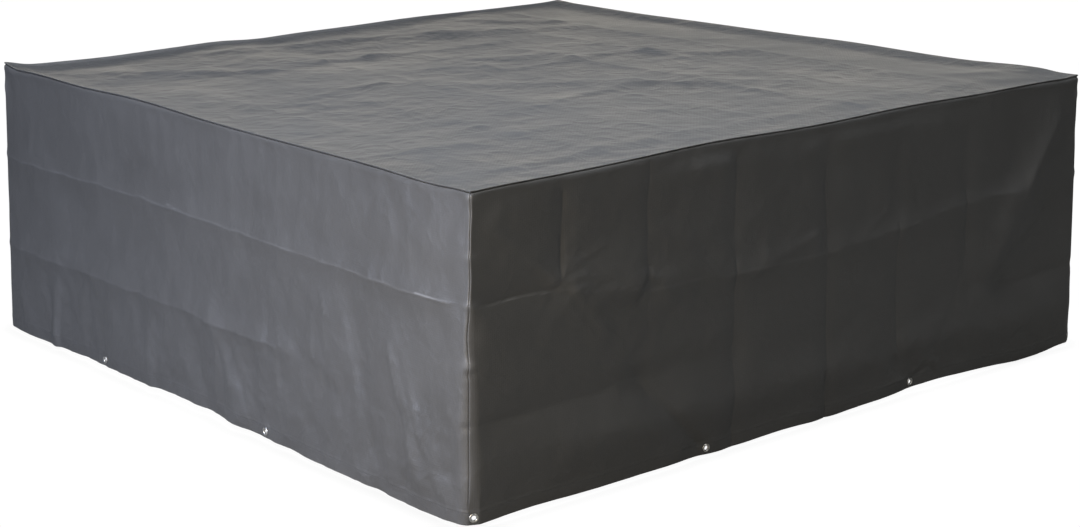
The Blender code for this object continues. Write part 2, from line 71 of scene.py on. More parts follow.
CLOTH = 1.0 * MM  # thickness that the thin sheeting is drawn with
SHEET_SINK = 0.3 * MM  # the sheet's face lies this far inside the solid's
HEM_DOUBLE = 2.2 * MM  # the hem, turned up double and ironed flat
HEM_PROUD = 0.5 * MM  # how far the hem stands out from the single cloth above it
HEM_STEP = 29.5 * MM  # where the hem's upper edge begins to step back, and how high the step is
HEM_STEP_HEIGHT = 2.5 * MM
SHEET_EDGE = 0.5 * MM  # behind, the step is this much higher
STITCH_LINE = 26 * MM  # height of the hem's row of stitches
STITCH_DIMPLE = 0.25 * MM  # how deep the stitches draw the cloth in, and how far to each side
STITCH_DIMPLE_REACH = 1.2 * MM
GROUND_GAP = 0.2 * MM  # the hem's lowest edge stands this far off the ground
HOLE_RADIUS = 7.0 * MM  # cloth cut away behind an eyelet's flange
FLANGE_HOLD = 11 * MM  # fine relief starts this far from an eyelet's middle
CORNER_EYELET_INSET = 20 * MM
TUCK_REACH = 16 * MM  # how far a tuck of the corner seam reaches into each wall
STRAIGHT = 0.930  # half of the run of a wall between the blends to its corners
RIDGE_BUMP = 1.3 * MM  # the crinkles' heights in the sheeting's material
DENT_BUMP = 1.0 * MM
GRAIN_BUMP = 0.9 * MM
TOP_CRINKLE = 0.85  # how hard the top's film is crinkled, next to the hardest spots of the walls
CREASE_SHARE = 0.55  # of the solid's creases; the finer folds along them make up the rest
TOP_LEAN = 3.5  # the top's ridges fall off this much more gently behind than in front
BEHIND = (0.65, 0.76)  # the way back from the near corner, in plan
WANDER = 3.5 * MM  # how far the folds wander off their paths, and over what distance
WANDER_SPAN = 55 * MM
UNEVEN_SPAN = 50 * MM  # the distance over which a fold comes and goes
FOLD_BLUNT = 0.06  # how blunt a sharp fold's edge is, and how fast its flanks fall off
FOLD_FALL = 0.9
PALE_REACH = 0.35  # share of a fold's reach that has paled
NOISE_CELLS = 128  # cells of the random tables, before they repeat
BOWL_CELLS = 64
CROWDING = 0.62  # how much closer the top's lines stand beside a fold, and how far from it
CROWD_REACH = 26 * MM

# ---------------------------------------------------------------- tables that the solids are made from

# Each corner: its side of the square, how far the seam and the foot stand out from the
# square, the seam's rise into an ear, and the rounding radius at the foot.
Corner = namedtuple("Corner", "side_x side_y seam_x seam_y foot_x foot_y ear radius")
CORNERS = {
    "near": Corner(-1, -1, -3, -6, -25, -10, -2, 38),
    "right": Corner(+1, -1, 0, -2, 24, -20, 4, 45),
    "back": Corner(+1, +1, -13, 8, 18, 19, 3, 40),
    "left": Corner(-1, +1, 20, 1, -21, 8, 13, 50),
}

# Each wall: its corners at the low and high end, the world axis along it, and outwards.
Wall = namedtuple("Wall", "low high axis outward")
WALLS = {
    "front": Wall("near", "right", 0, (0, -1)),
    "right": Wall("right", "back", 1, (1, 0)),
    "back": Wall("left", "back", 0, (0, 1)),
    "left": Wall("near", "left", 1, (-1, 0)),
}

# How each wall's seam waves up and down: centre and spread in metres, rise in mm.
SEAM_WAVES = {
    "front": ((-0.32, 0.24, 8), (0.34, 0.26, 7), (0.82, 0.20, 4)),
    "left": ((0.30, 0.26, 9), (0.80, 0.16, 6), (-0.86, 0.14, -5)),
    "back": ((-0.70, 0.16, -4), (-0.10, 0.70, -2), (-0.32, 0.10, 3), (-0.19, 0.10, -4), (0.40, 0.22, 4)),
    "right": ((0.62, 0.24, -3), (-0.25, 0.20, 4), (-0.85, 0.14, 8)),
}

# How each wall's hem waves up and down, in the same way.
HEM_WAVES = {
    "left": ((0.08, 0.30, 9), (0.52, 0.12, 4), (-0.82, 0.26, -5)),
    "front": ((-0.84, 0.12, 4), (-0.25, 0.09, -4), (0.44, 0.13, 8), (0.05, 0.08, -5), (0.80, 0.11, -10)),
    "right": ((-0.40, 0.22, 5), (0.25, 0.16, -6), (0.70, 0.18, 5)),
    "back": ((0.50, 0.20, -7), (-0.05, 0.24, 6), (-0.60, 0.20, -4)),
}

# Folds of each wall, from one point (along, height) to another in metres; spread across the
# fold and lift outwards in mm.
FOLDS = {
    "front": (
        # level creases from being folded flat, a third and two thirds of the way up
        (-1.00, 0.465, -0.76, 0.462, 34, -5),
        (-0.76, 0.462, -0.25, 0.408, 34, 4),
        (-0.25, 0.408, 0.30, 0.406, 34, 4),
        (0.30, 0.406, 1.00, 0.450, 34, 4),
        (-1.00, 0.210, -0.25, 0.222, 34, -4),
        (0.58, 0.222, 1.00, 0.208, 34, -6),
        # upright creases of the same folding
        (-0.76, 0.46, -0.76, 0.69, 30, -4),
        (-0.51, 0.42, -0.51, 0.69, 30, -3),
        (-0.247, 0.00, -0.247, 0.69, 30, -4),
        (0.055, 0.00, 0.055, 0.69, 30, -4),
        (0.298, 0.08, 0.298, 0.60, 30, -3),
        (0.555, 0.28, 0.555, 0.60, 30, -3),
        # slack folds: the star, the pulls above the eyelets, the long diagonals
        (-0.76, 0.48, -0.64, 0.34, 30, 4),
        (-0.53, 0.21, -0.36, 0.03, 38, -6),
        (0.25, 0.13, 0.36, 0.03, 34, -5),
        (0.62, 0.22, 0.90, 0.58, 55, 8),
        (0.72, 0.22, 0.96, 0.40, 60, -6),
        (-0.20, 0.06, 0.60, 0.10, 90, -5),
    ),
    "left": (
        # level creases from being folded flat, a third and two thirds of the way up
        (-1.00, 0.465, 1.00, 0.462, 34, 5),
        (-0.35, 0.228, 1.00, 0.228, 34, 6),
        # slack folds, fanning down to the hem
        (-0.74, 0.33, -0.84, 0.08, 36, 7),
        (-0.60, 0.36, -0.70, 0.02, 40, -5),
        (-0.84, 0.20, -0.94, 0.03, 30, 5),
        (-0.05, 0.22, -0.17, 0.00, 40, 8),
        (0.06, 0.20, -0.03, 0.00, 42, -6),
        (0.24, 0.20, 0.24, 0.00, 40, 5),
        (0.71, 0.15, 0.72, 0.00, 26, 8),
        (0.62, 0.40, 0.10, 0.36, 70, -5),
    ),
    "right": (
        # level creases from being folded flat, a third and two thirds of the way up
        (-1.00, 0.460, 1.00, 0.465, 34, 4),
        (-1.00, 0.225, 0.60, 0.228, 34, -5),
        # upright creases of the same folding
        (-0.50, 0.00, -0.50, 0.69, 30, -4),
        (0.00, 0.00, 0.00, 0.69, 30, -4),
        (0.50, 0.10, 0.50, 0.69, 30, 4),
        # slack folds
        (-0.78, 0.30, -0.62, 0.02, 45, 7),
        (-0.20, 0.40, -0.05, 0.05, 50, -6),
        (0.30, 0.26, 0.42, 0.00, 45, 7),
        (0.66, 0.55, 0.86, 0.18, 55, 7),
    ),
    "back": (
        # level creases from being folded flat, a third and two thirds of the way up
        (-1.00, 0.462, 1.00, 0.465, 34, 5),
        (-0.50, 0.228, 1.00, 0.225, 34, -4),
        # upright creases of the same folding
        (-0.54, 0.20, -0.54, 0.69, 30, -4),
        (0.00, 0.00, 0.00, 0.69, 30, 4),
        (0.50, 0.00, 0.50, 0.60, 30, -4),
        # slack folds
        (-0.86, 0.40, -0.70, 0.02, 50, 7),
        (-0.30, 0.30, -0.38, 0.00, 45, -6),
        (0.22, 0.32, 0.12, 0.00, 45, 7),
        (0.70, 0.52, 0.84, 0.10, 55, -6),
    ),
}

# The top panel's inner slope below the seam: its depth and width in mm, for each wall.
RIM_DEPTH = {"front": 8, "right": 7, "back": 6, "left": 8}
RIM_WIDTH = {"front": 12, "right": 42, "back": 11, "left": 12}
RIM_POWER = {"front": 2, "right": 3, "back": 5, "left": 2}  # how sharply the slope ends

# Creases of the top panel, from one point (x, y) to another in metres; spread and lift in mm.
CREASES = (
    # folded in strips: low ridges along y
    (-0.78, -0.95, -0.78, 0.70, 26, 1),
    (-0.54, -0.95, -0.54, 0.60, 26, 1.2),
    (-0.28, -0.95, -0.28, 0.60, 26, 1.5),
    (0.00, -0.95, 0.00, 0.60, 26, 1.5),
    (0.26, -0.95, 0.26, 0.50, 26, 1.5),
    (0.495, -0.70, 0.495, 0.50, 26, 1.5),
    (0.715, -0.80, 0.715, 0.92, 26, 2),
    # the long soft ridge near the back edge, and the one in front of it
    (-0.44, 0.90, 0.02, 0.83, 52, 7),
    (0.02, 0.83, 0.30, 0.73, 52, 7),
    (0.30, 0.73, 0.66, 0.59, 52, 7),
    (-0.78, 0.80, -0.47, 0.54, 44, 4),
    (-0.47, 0.54, -0.10, 0.55, 40, 5),
    (-0.10, 0.55, 0.32, 0.48, 40, 5),
    # cross creases
    (-0.85, 0.11, -0.55, 0.13, 34, 2),
    (-0.55, 0.13, 0.25, 0.11, 34, 2),
    (0.26, 0.12, 0.50, 0.07, 36, 4),
    (0.50, 0.07, 0.68, -0.10, 36, 4),
    (-0.25, 0.02, 0.10, -0.24, 40, 5),
    (-0.20, -0.34, 0.12, -0.28, 36, 4),
    (0.12, -0.28, 0.41, -0.56, 36, 5),
    (-0.90, -0.59, -0.10, -0.60, 34, 2),
    (0.00, -0.58, 0.60, -0.64, 34, 2),
    (-0.92, -0.86, 0.70, -0.865, 34, 3),
    (0.55, 0.88, 0.70, 0.70, 40, 4),
    (0.80, -0.77, 0.90, -0.85, 36, 4),
    # hollows between the ridges
    (-0.60, 0.34, 0.20, 0.30, 90, -3),
    (-0.10, -0.12, 0.60, -0.20, 80, -2),
    (-0.70, -0.20, -0.40, -0.45, 110, -3),
    (-0.20, 0.71, 0.30, 0.61, 50, -3),
)

# Where the eyelets are along the hem: two on each wall, and one on the turn of each corner,
# at -1 or 1, on the front and the back.
EYELETS = (
    ("front", -1.0), ("front", -0.329), ("front", 0.358), ("front", 1.0),
    ("right", -0.310), ("right", 0.350), ("back", 1.0), ("back", 0.310),
    ("back", -0.360), ("back", -1.0), ("left", 0.462), ("left", -0.265),
)

# ---------------------------------------------------------------- finer creases, given one by one

# The top's packing folds, which run along y.
PACKING_FOLDS = (-0.774, -0.534, -0.274, 0.006, 0.268, 0.500, 0.724)

# How each corner's rounding shrinks up the cloth: heights in metres, radii in mm.
CORNER_RADII = {
    "near": ((0.032, 0.29, 0.335, 0.450, 0.474, 0.60, 0.704), (38, 30, 20, 17, 8, 6, 8)),
    "right": ((0.032, 0.30, 0.50, 0.66, 0.704), (45, 29, 18, 9, 8)),
    "back": ((0.032, 0.30, 0.50, 0.66, 0.704), (40, 26, 17, 9, 8)),
    "left": ((0.032, 0.30, 0.50, 0.66, 0.704), (50, 32, 20, 9, 8)),
}

# Tucks that the corner seam draws: height and spread in metres, how far the edge stands out
# and moves aside (towards the wall on its right, seen from outside) in mm.
TUCKS = {
    "near": (
        (0.690, 0.007, 1.6, 0.0), (0.655, 0.020, -0.8, 1.0), (0.570, 0.008, 1.8, -1.0),
        (0.520, 0.020, -0.6, 1.2), (0.468, 0.007, 2.6, -1.0), (0.400, 0.040, -1.5, -4.0),
        (0.345, 0.009, 2.4, 1.0), (0.322, 0.008, -2.6, -2.0), (0.212, 0.008, -2.0, 0.0),
        (0.110, 0.050, 1.0, 1.5),
    ),
    "left": (
        (0.640, 0.015, 1.5, 1.0), (0.465, 0.010, 2.0, 0.0), (0.330, 0.030, -1.5, 1.5),
        (0.226, 0.010, 2.0, 0.0),
    ),
    "right": (
        (0.655, 0.012, 1.5, 0.0), (0.560, 0.030, -1.2, 1.5), (0.450, 0.010, 2.0, 0.0),
        (0.210, 0.012, -2.0, 0.0),
    ),
    "back": (
        (0.610, 0.012, 1.5, 1.0), (0.465, 0.010, 2.0, 0.0), (0.300, 0.030, -1.5, 0.0),
    ),
}

# Sharp folds, with straight flanks that meet in an edge: reach across the fold and lift
# outwards in mm, how far the film has paled, 0 to 1, and the points of the fold's path in
# metres, along and up a wall, or x and y on the top.
SHARP = {
    "left": (
        # two level folds from packing, the upper one scuffed near the corner
        (6, 3.1, 0.10, (-0.93, 0.465), (-0.55, 0.462), (-0.10, 0.466), (0.96, 0.463)),
        (3, 1.7, 0.45, (-0.945, 0.4645), (-0.83, 0.4665)),
        (7, 3.9, 0.03, (-0.30, 0.229), (0.20, 0.226), (0.97, 0.228)),
        (4, 1.7, 0.11, (0.16, 0.474), (0.11, 0.466)),
        # short pleats between the level folds and above the hem
        (7, 3.6, 0.02, (0.715, 0.13), (0.712, 0.0)),
        (6, -2.5, 0, (0.690, 0.12), (0.694, 0.0)),
        (6, -2.0, 0, (0.735, 0.10), (0.738, 0.0)),
        (12, 4.2, 0.01, (-0.07, 0.207), (-0.12, 0.11), (-0.165, 0.01)),
        (8, -2.5, 0, (-0.075, 0.18), (-0.10, 0.10), (-0.10, 0.0)),
        (9, -2.5, 0, (-0.115, 0.19), (-0.17, 0.10), (-0.215, 0.02)),
        (9, 2.5, 0, (0.30, 0.14), (0.31, 0.0)),
        (8, 2.8, 0, (0.25, 0.17), (0.235, 0.0)),
        (8, -2.2, 0, (0.21, 0.12), (0.20, 0.0)),
        (8, 2.5, 0, (0.08, 0.14), (0.07, 0.0)),
        (4, 2.2, 0.06, (-0.305, 0.290), (-0.330, 0.235)),
        (4, 2.0, 0.04, (-0.330, 0.262), (-0.375, 0.240)),
        (4, 2.5, 0.07, (-0.480, 0.402), (-0.500, 0.360), (-0.505, 0.345)),
        (5, 2.1, 0.03, (-0.445, 0.325), (-0.450, 0.235)),
        (6, 1.8, 0.01, (-0.495, 0.315), (-0.505, 0.250)),
        (6, 2.5, 0.02, (-0.575, 0.335), (-0.600, 0.245)),
        (6, 2.2, 0.02, (-0.660, 0.305), (-0.675, 0.235)),
        (4, -1.7, 0, (-0.630, 0.260), (-0.640, 0.215)),
        (8, 4.2, 0.06, (-0.735, 0.325), (-0.775, 0.22), (-0.825, 0.106)),
        (7, -2.5, 0, (-0.765, 0.315), (-0.815, 0.20), (-0.860, 0.11)),
        (6, 3.1, 0.04, (-0.815, 0.245), (-0.835, 0.17), (-0.875, 0.12), (-0.910, 0.05)),
        (6, 2.5, 0.04, (-0.925, 0.365), (-0.935, 0.26), (-0.955, 0.15)),
        (5, 1.7, 0.02, (-0.820, 0.440), (-0.850, 0.390)),
        (8, 1.4, 0.01, (-0.80, 0.60), (-0.81, 0.50)),
    ),
    "front": (
        # the level folds, sagging between the upright ones
        (6, -4.3, 0, (-0.99, 0.463), (-0.77, 0.462)),
        (3, 1.2, 0.11, (-0.99, 0.456), (-0.77, 0.455)),
        (6, 2.6, 0.06, (-0.76, 0.459), (-0.51, 0.411), (-0.25, 0.403), (0.055, 0.399)),
        (6, 3.2, 0.06, (0.055, 0.400), (0.30, 0.411), (0.555, 0.438), (0.75, 0.445)),
        (6, -4.3, 0, (-1.00, 0.212), (-0.76, 0.205), (-0.62, 0.214)),
        (6, -4.3, 0, (0.61, 0.222), (0.78, 0.212), (0.97, 0.209)),
        # and the upright ones, pressed hard in places and gone in others
        (5, -4.3, 0, (-0.757, 0.66), (-0.759, 0.49)),
        (3, 1.2, 0.03, (-0.744, 0.66), (-0.747, 0.50)),
        (4, -3.2, 0.01, (-0.513, 0.69), (-0.514, 0.43)),
        (5, -2.6, 0, (-0.247, 0.66), (-0.246, 0.50)),
        (5, -3.5, 0, (-0.247, 0.46), (-0.246, 0.24)),
        (5, -3.2, 0, (-0.247, 0.20), (-0.244, 0.01)),
        (5, -3.5, 0, (0.048, 0.60), (0.055, 0.38), (0.056, 0.14)),
        (6, -4.3, 0, (0.056, 0.11), (0.060, 0.00)),
        (5, -3.2, 0, (0.300, 0.42), (0.300, 0.12)),
        (6, -3.5, 0, (0.551, 0.47), (0.556, 0.33)),
        # the star where the level and the upright fold cross
        (10, 3.5, 0.02, (-0.775, 0.480), (-0.85, 0.545), (-0.945, 0.62)),
        (6, 2.6, 0.03, (-0.760, 0.485), (-0.700, 0.515), (-0.640, 0.535)),
        (5, 2.3, 0.03, (-0.755, 0.490), (-0.715, 0.545)),
        (5, 2.3, 0.04, (-0.750, 0.472), (-0.690, 0.480)),
        (5, -4.3, 0, (-0.745, 0.452), (-0.700, 0.395), (-0.638, 0.332)),
        (4, 1.7, 0.02, (-0.735, 0.462), (-0.690, 0.410), (-0.628, 0.345)),
        (6, 1.7, 0, (-0.800, 0.445), (-0.830, 0.405)),
        # a puffed patch beside the star, its lower right end tucked under
        (4, -2.9, 0, (-0.690, 0.398), (-0.600, 0.385), (-0.525, 0.392)),
        (4, -4.6, 0, (-0.518, 0.440), (-0.530, 0.400), (-0.548, 0.385)),
        (7, 2.0, 0, (-0.50, 0.435), (-0.44, 0.39), (-0.36, 0.37)),
        (8, 3.2, 0.02, (-0.180, 0.398), (-0.080, 0.425), (0.020, 0.452)),
        (5, -3.8, 0, (0.030, 0.455), (0.045, 0.405)),
        (6, 1.7, 0, (-0.22, 0.50), (-0.14, 0.56), (-0.10, 0.585)),
        (7, 2.0, 0, (0.18, 0.425), (0.27, 0.47)),
        (7, 2.0, 0.01, (0.00, 0.395), (-0.05, 0.35)),
        # the pulls down to the eyelets
        (6, -4.3, 0, (-0.530, 0.208), (-0.444, 0.119), (-0.352, 0.026)),
        (6, 2.3, 0.02, (-0.500, 0.205), (-0.410, 0.115), (-0.335, 0.036)),
        (5, 1.7, 0, (-0.375, 0.100), (-0.345, 0.045)),
        (5, 2.9, 0.03, (0.350, 0.030), (0.325, 0.075), (0.295, 0.110)),
        (5, 3.2, 0.07, (0.368, 0.038), (0.400, 0.062), (0.450, 0.050)),
        (4, -3.2, 0, (0.372, 0.026), (0.420, 0.042), (0.445, 0.020)),
        (5, 2.9, 0.07, (0.345, 0.022), (0.315, 0.035)),
        (7, -2.3, 0, (0.340, 0.040), (0.290, 0.140), (0.25, 0.20)),
        # the long slack fold to the right-hand corner
        (11, 4.3, 0.01, (0.905, 0.600), (0.870, 0.545), (0.800, 0.480)),
        (13, 5.2, 0.02, (0.800, 0.470), (0.763, 0.418), (0.700, 0.330), (0.624, 0.225)),
        (8, -4.3, 0, (0.630, 0.232), (0.740, 0.290), (0.830, 0.340), (0.880, 0.40)),
        (8, -2.3, 0, (0.55, 0.30), (0.50, 0.17), (0.42, 0.08)),
    ),
    "right": (
        # level and upright folds, with slack drawn from where they cross
        (6, 2.8, 0.07, (-0.97, 0.462), (-0.30, 0.458), (0.40, 0.463), (0.97, 0.464)),
        (7, -3.2, 0, (-0.97, 0.224), (-0.10, 0.228), (0.62, 0.227)),
        (6, -3.2, 0, (-0.500, 0.68), (-0.502, 0.47)),
        (6, -2.5, 0, (-0.498, 0.42), (-0.500, 0.05)),
        (6, -2.8, 0, (0.000, 0.66), (0.002, 0.02)),
        (6, 2.8, 0.04, (0.500, 0.66), (0.498, 0.14)),
        (6, -2.8, 0, (-0.500, 0.460), (-0.60, 0.38), (-0.66, 0.31)),
        (7, 2.5, 0.02, (-0.500, 0.470), (-0.39, 0.55)),
        (7, 2.5, 0.02, (0.00, 0.23), (0.11, 0.14), (0.21, 0.10)),
        (7, 3.0, 0.01, (-0.315, 0.04), (-0.42, 0.15), (-0.50, 0.21)),
        (8, -2.5, 0, (0.345, 0.04), (0.30, 0.16), (0.31, 0.26)),
        (12, 3.8, 0.02, (0.66, 0.55), (0.76, 0.38), (0.86, 0.18)),
        (8, 2.5, 0, (0.80, 0.16), (0.81, 0.0)),
        (12, 3.2, 0, (-0.78, 0.30), (-0.70, 0.16), (-0.62, 0.02)),
    ),
    "back": (
        # the same
        (6, 3.0, 0.07, (-0.97, 0.463), (0.00, 0.459), (0.97, 0.464)),
        (7, -3.0, 0, (-0.50, 0.228), (0.20, 0.222), (0.97, 0.226)),
        (6, -3.0, 0, (-0.540, 0.68), (-0.542, 0.22)),
        (6, 2.8, 0.04, (0.000, 0.68), (0.002, 0.25)),
        (6, 2.2, 0.02, (0.002, 0.20), (0.004, 0.02)),
        (6, -2.8, 0, (0.500, 0.58), (0.498, 0.03)),
        (7, -3.0, 0, (0.00, 0.46), (0.11, 0.38), (0.19, 0.33)),
        (8, 2.5, 0.02, (0.00, 0.47), (-0.12, 0.56)),
        (12, 3.5, 0.01, (-0.86, 0.40), (-0.78, 0.21), (-0.70, 0.02)),
        (9, 3.0, 0, (0.305, 0.04), (0.22, 0.20), (0.20, 0.31)),
        (8, -2.8, 0, (-0.355, 0.04), (-0.30, 0.18), (-0.30, 0.28)),
        (12, -3.2, 0, (0.70, 0.52), (0.78, 0.30), (0.84, 0.10)),
    ),
    "top": (
        # the packing folds, which stand up as ridges
        (10, 1.2, 0, (-0.774, -0.922), (-0.772, -0.392), (-0.776, 0.408)),
        (10, 1.6, 0, (-0.534, -0.932), (-0.536, -0.292), (-0.532, 0.508)),
        (10, 2.0, 0, (-0.274, -0.932), (-0.276, -0.192), (-0.272, 0.528)),
        (10, 2.1, 0, (0.006, -0.932), (0.004, -0.292), (0.008, 0.488)),
        (10, 2.4, 0, (0.268, -0.912), (0.266, 0.088), (0.270, 0.448)),
        (10, 1.6, 0, (0.501, -0.592), (0.501, 0.058)),
        (10, 2.1, 0, (0.498, 0.128), (0.500, 0.468)),
        (10, 2.4, 0, (0.726, -0.772), (0.724, 0.108), (0.718, 0.908)),
        # creases across them, and the ridges along the back
        (12, 3.8, 0, (-0.534, 0.553), (-0.460, 0.523)),
        (13, 4.2, 0, (-0.314, 0.523), (-0.256, 0.553), (-0.214, 0.530), (-0.084, 0.556)),
        (10, 4.0, 0, (-0.504, 0.154), (-0.431, 0.132), (-0.373, 0.139), (-0.346, 0.173)),
        (14, 3.1, 0, (-0.794, 0.103), (-0.694, 0.083), (-0.604, -0.022), (-0.539, -0.027)),
        (17, 3.8, 0, (-0.227, 0.023), (-0.140, -0.094), (-0.054, -0.137)),
        (17, 3.8, 0, (-0.054, -0.137), (0.035, -0.157), (0.123, -0.254)),
        (12, 2.5, 0, (-0.229, 0.083), (-0.184, 0.113), (-0.094, 0.083), (-0.004, 0.118)),
        (17, 3.1, 0, (-0.194, 0.273), (-0.094, 0.233), (0.001, 0.188)),
        (14, 3.8, 0, (0.072, 0.278), (0.176, 0.233), (0.264, 0.208)),
        (12, 4.0, 0, (0.270, 0.123), (0.306, 0.138), (0.385, 0.098), (0.506, 0.068)),
        (14, 2.9, 0, (0.506, 0.068), (0.566, -0.052), (0.606, -0.097), (0.696, -0.102)),
        (12, 2.5, 0, (0.086, 0.098), (0.216, 0.088)),
        (12, 3.8, 0, (-0.198, -0.342), (-0.074, -0.322), (0.035, -0.317)),
        (14, 4.0, 0, (0.066, -0.277), (0.156, -0.312), (0.254, -0.335)),
        (10, 4.2, 0, (0.210, -0.384), (0.268, -0.372), (0.336, -0.452), (0.421, -0.546)),
        (13, 2.7, 0, (-0.244, -0.397), (-0.144, -0.417), (0.006, -0.407)),
        (12, 2.2, 0, (0.276, -0.357), (0.396, -0.352)),
        (10, 2.7, 0, (-0.969, -0.582), (-0.781, -0.589), (-0.694, -0.607), (-0.534, -0.604)),
        (10, 2.9, 0, (-0.604, -0.472), (-0.534, -0.472)),
        (10, 1.6, 0, (-0.534, -0.592), (-0.284, -0.592)),
        (10, 2.5, 0, (0.268, -0.572), (0.446, -0.592)),
        (9, 2.9, 0, (0.646, -0.472), (0.706, -0.442), (0.751, -0.412)),
        (10, 3.4, 0, (-0.824, -0.857), (-0.664, -0.867), (-0.519, -0.850)),
        (10, 1.8, 0, (-0.519, -0.850), (-0.394, -0.862)),
        (10, 3.1, 0, (-0.294, -0.884), (-0.214, -0.872), (-0.064, -0.868)),
        (10, 2.2, 0, (0.186, -0.837), (0.306, -0.852), (0.436, -0.850)),
        (20, 3.8, 0, (0.786, -0.782), (0.906, -0.842)),
        (17, 3.8, 0, (0.806, -0.912), (0.926, -0.952)),
        (17, 2.7, 0, (0.786, 0.118), (0.836, 0.078)),
        (13, 2.9, 0, (-0.754, 0.788), (-0.694, 0.708), (-0.654, 0.708)),
        (17, 2.9, 0, (-0.634, 0.658), (-0.554, 0.608)),
        (13, 2.7, 0, (-0.444, 0.628), (-0.364, 0.593), (-0.294, 0.568)),
        (22, 3.4, 0, (-0.44, 0.90), (0.02, 0.83), (0.30, 0.73), (0.66, 0.59)),
        (18, 1.8, 0, (-0.78, 0.80), (-0.47, 0.54), (-0.10, 0.55), (0.32, 0.48)),
    ),
}

# Soft folds, bells across their paths: reach and lift in mm, and the points of the path.
SOFT = {
    "left": (
        # slack between the level folds, and in the broadest diagonal folds
        (28, -3.2, (-0.73, 0.34), (-0.79, 0.17)),
        (30, -3.0, (-0.06, 0.20), (-0.14, 0.07)),
        (60, -2.5, (0.85, 0.34), (0.30, 0.33)),
        (70, 2.0, (-0.50, 0.60), (-0.95, 0.58)),
        (26, 3.0, (-0.145, 0.09), (-0.20, 0.05)),
        (55, 2.5, (0.45, 0.06), (0.20, 0.07)),
    ),
    "front": (
        # puffed patches and hollows
        (20, 3.5, (-0.66, 0.415), (-0.55, 0.425)),
        (26, 2.5, (-0.45, 0.385), (-0.42, 0.36)),
        (22, 2.5, (-0.15, 0.42), (0.01, 0.43)),
        (30, 4.0, (0.74, 0.44), (0.70, 0.36)),
        (24, 3.0, (0.86, 0.55), (0.83, 0.50)),
        (40, -3.5, (0.78, 0.27), (0.92, 0.30)),
        (22, 3.0, (-0.36, 0.645), (-0.28, 0.650)),
        (14, 1.5, (0.00, 0.655), (0.30, 0.657)),
        (50, 2.0, (-0.93, 0.40), (-0.80, 0.33)),
        # the lower edge tucks under, and the wall swells below the seam
        (52, 9.5, (-0.72, 0.120), (-0.30, 0.112), (0.30, 0.112), (0.95, 0.120)),
        (36, 3.2, (-0.92, 0.645), (0.45, 0.648)),
        (20, 2.0, (-0.42, 0.655), (-0.26, 0.655)),
        (50, 2.5, (-0.95, 0.10), (-0.80, 0.14)),
    ),
    "top": (
        # softer ridges
        (26, 2.5, (0.53, 0.88), (0.60, 0.79), (0.70, 0.71)),
        (24, 2.5, (0.60, 0.93), (0.70, 0.895)),
        (34, 2.0, (-0.22, -0.46), (-0.12, -0.59), (0.00, -0.63)),
        (30, 2.0, (-0.20, 0.21), (-0.06, 0.15)),
        (28, 2.0, (0.10, 0.25), (0.24, 0.18)),
        (34, 2.5, (-0.92, 0.94), (-0.84, 0.81), (-0.78, 0.75)),
        (34, 2.0, (0.52, -0.01), (0.68, -0.11)),
    ),
}

# Where folds are so sharp that the cloth's grid is closer: along a wall in metres, up it in mm.
FOLD_LINES = {
    "front": (-0.757, -0.513, -0.247, 0.055, 0.300, 0.555),
    "right": (-0.500, 0.000, 0.500),
    "back": (-0.540, 0.000, 0.500),
}
FOLD_ROWS = (228.0, 463.0)

# Fine crumpling: its first random seed, then the facets' height in mm, and their width and
# height on the cloth in metres, from the largest to the smallest.
WALL_CRUMPLES = ((3.4, 0.22, 0.16), (2.9, 0.080, 0.065), (1.3, 0.038, 0.032))
CRUMPLES = {
    "top": (11, ((2.0, 0.16, 0.12), (1.9, 0.080, 0.046), (1.0, 0.042, 0.026))),
    "front": (21, WALL_CRUMPLES),
    "left": (31, ((3.8, 0.22, 0.22), (3.4, 0.062, 0.095), (1.5, 0.032, 0.045))),
    "right": (41, WALL_CRUMPLES),
    "back": (51, WALL_CRUMPLES),
}

# Profiles across the seams: distances from the seam's line, and offsets there, both in mm.
SEAM_GROOVE = ((5.0, 5.6, 6.6, 8.2), (-3.0, -2.1, -0.9, 0.0))
SEAM_SWELL = ((5.0, 8.0, 11.0, 16.0, 24.0, 36.0), (0.0, 0.8, 1.6, 1.7, 0.7, 0.0))
CORNER_ROLL = ((0.0, 0.6, 1.4, 2.6, 4.5, 9.0), (-0.9, -0.6, -0.2, 0.10, 0.15, 0.0))
RIM_INWARDS = ((0.0, 1.0, 2.1, 3.3, 4.5, 5.7, 9.0, 13.0), (3.0, 0.3, -1.5, -2.7, -2.9, -2.3, -0.7, 0.0))
RIM_RISE = ((0.0, 1.0, 2.1, 3.3, 4.5, 5.7, 9.0, 14.0), (-5.0, -3.9, -2.5, -1.0, 0.0, 0.4, 0.3, 0.0))

# The grid of a wall's cloth. Rows, in mm: up from the hem's edge, down from the seam's line, and
# the first, last and number of the even ones between. Stations: turns from a corner's mitre in
# degrees; shares of an eyelet's flat, of the arc beside it and of the blend to the wall.
HEM_ROWS = (
    0.0, 1.2, 2.8, 5.0, 7.5, 10.0, 12.5, 15.0, 17.5, 20.0, 22.5, 24.8, 26.0, 27.2, 29.4, 30.6, 32.2, 35.0,
)
SEAM_ROWS = (20.0, 17.0, 14.0, 11.5, 9.6, 8.2, 7.2, 6.4, 5.7, 5.0)
EVEN_ROWS = (41.0, 680.0, 88)
EVEN_STATIONS = 252
TURN_DEGREES = (0.0, 1.0, 2.2, 3.8, 6.0, 9.0, 13.0, 18.0, 24.0, 31.0, 38.0, 45.0)
FLAT_SHARES = (0.0, 0.03, 0.06, 0.11, 0.20, 0.30, 0.40, 0.50, 0.60, 0.70, 0.80, 0.90, 1.0)
ARC_SHARES = (0.66, 0.33, 0.0)
BLEND_SHARES = (0.10, 0.22, 0.36, 0.52, 0.70, 1.0)
RIM_DEGREES = (45.0, 36.0, 27.0, 18.0, 9.0, 0.0)
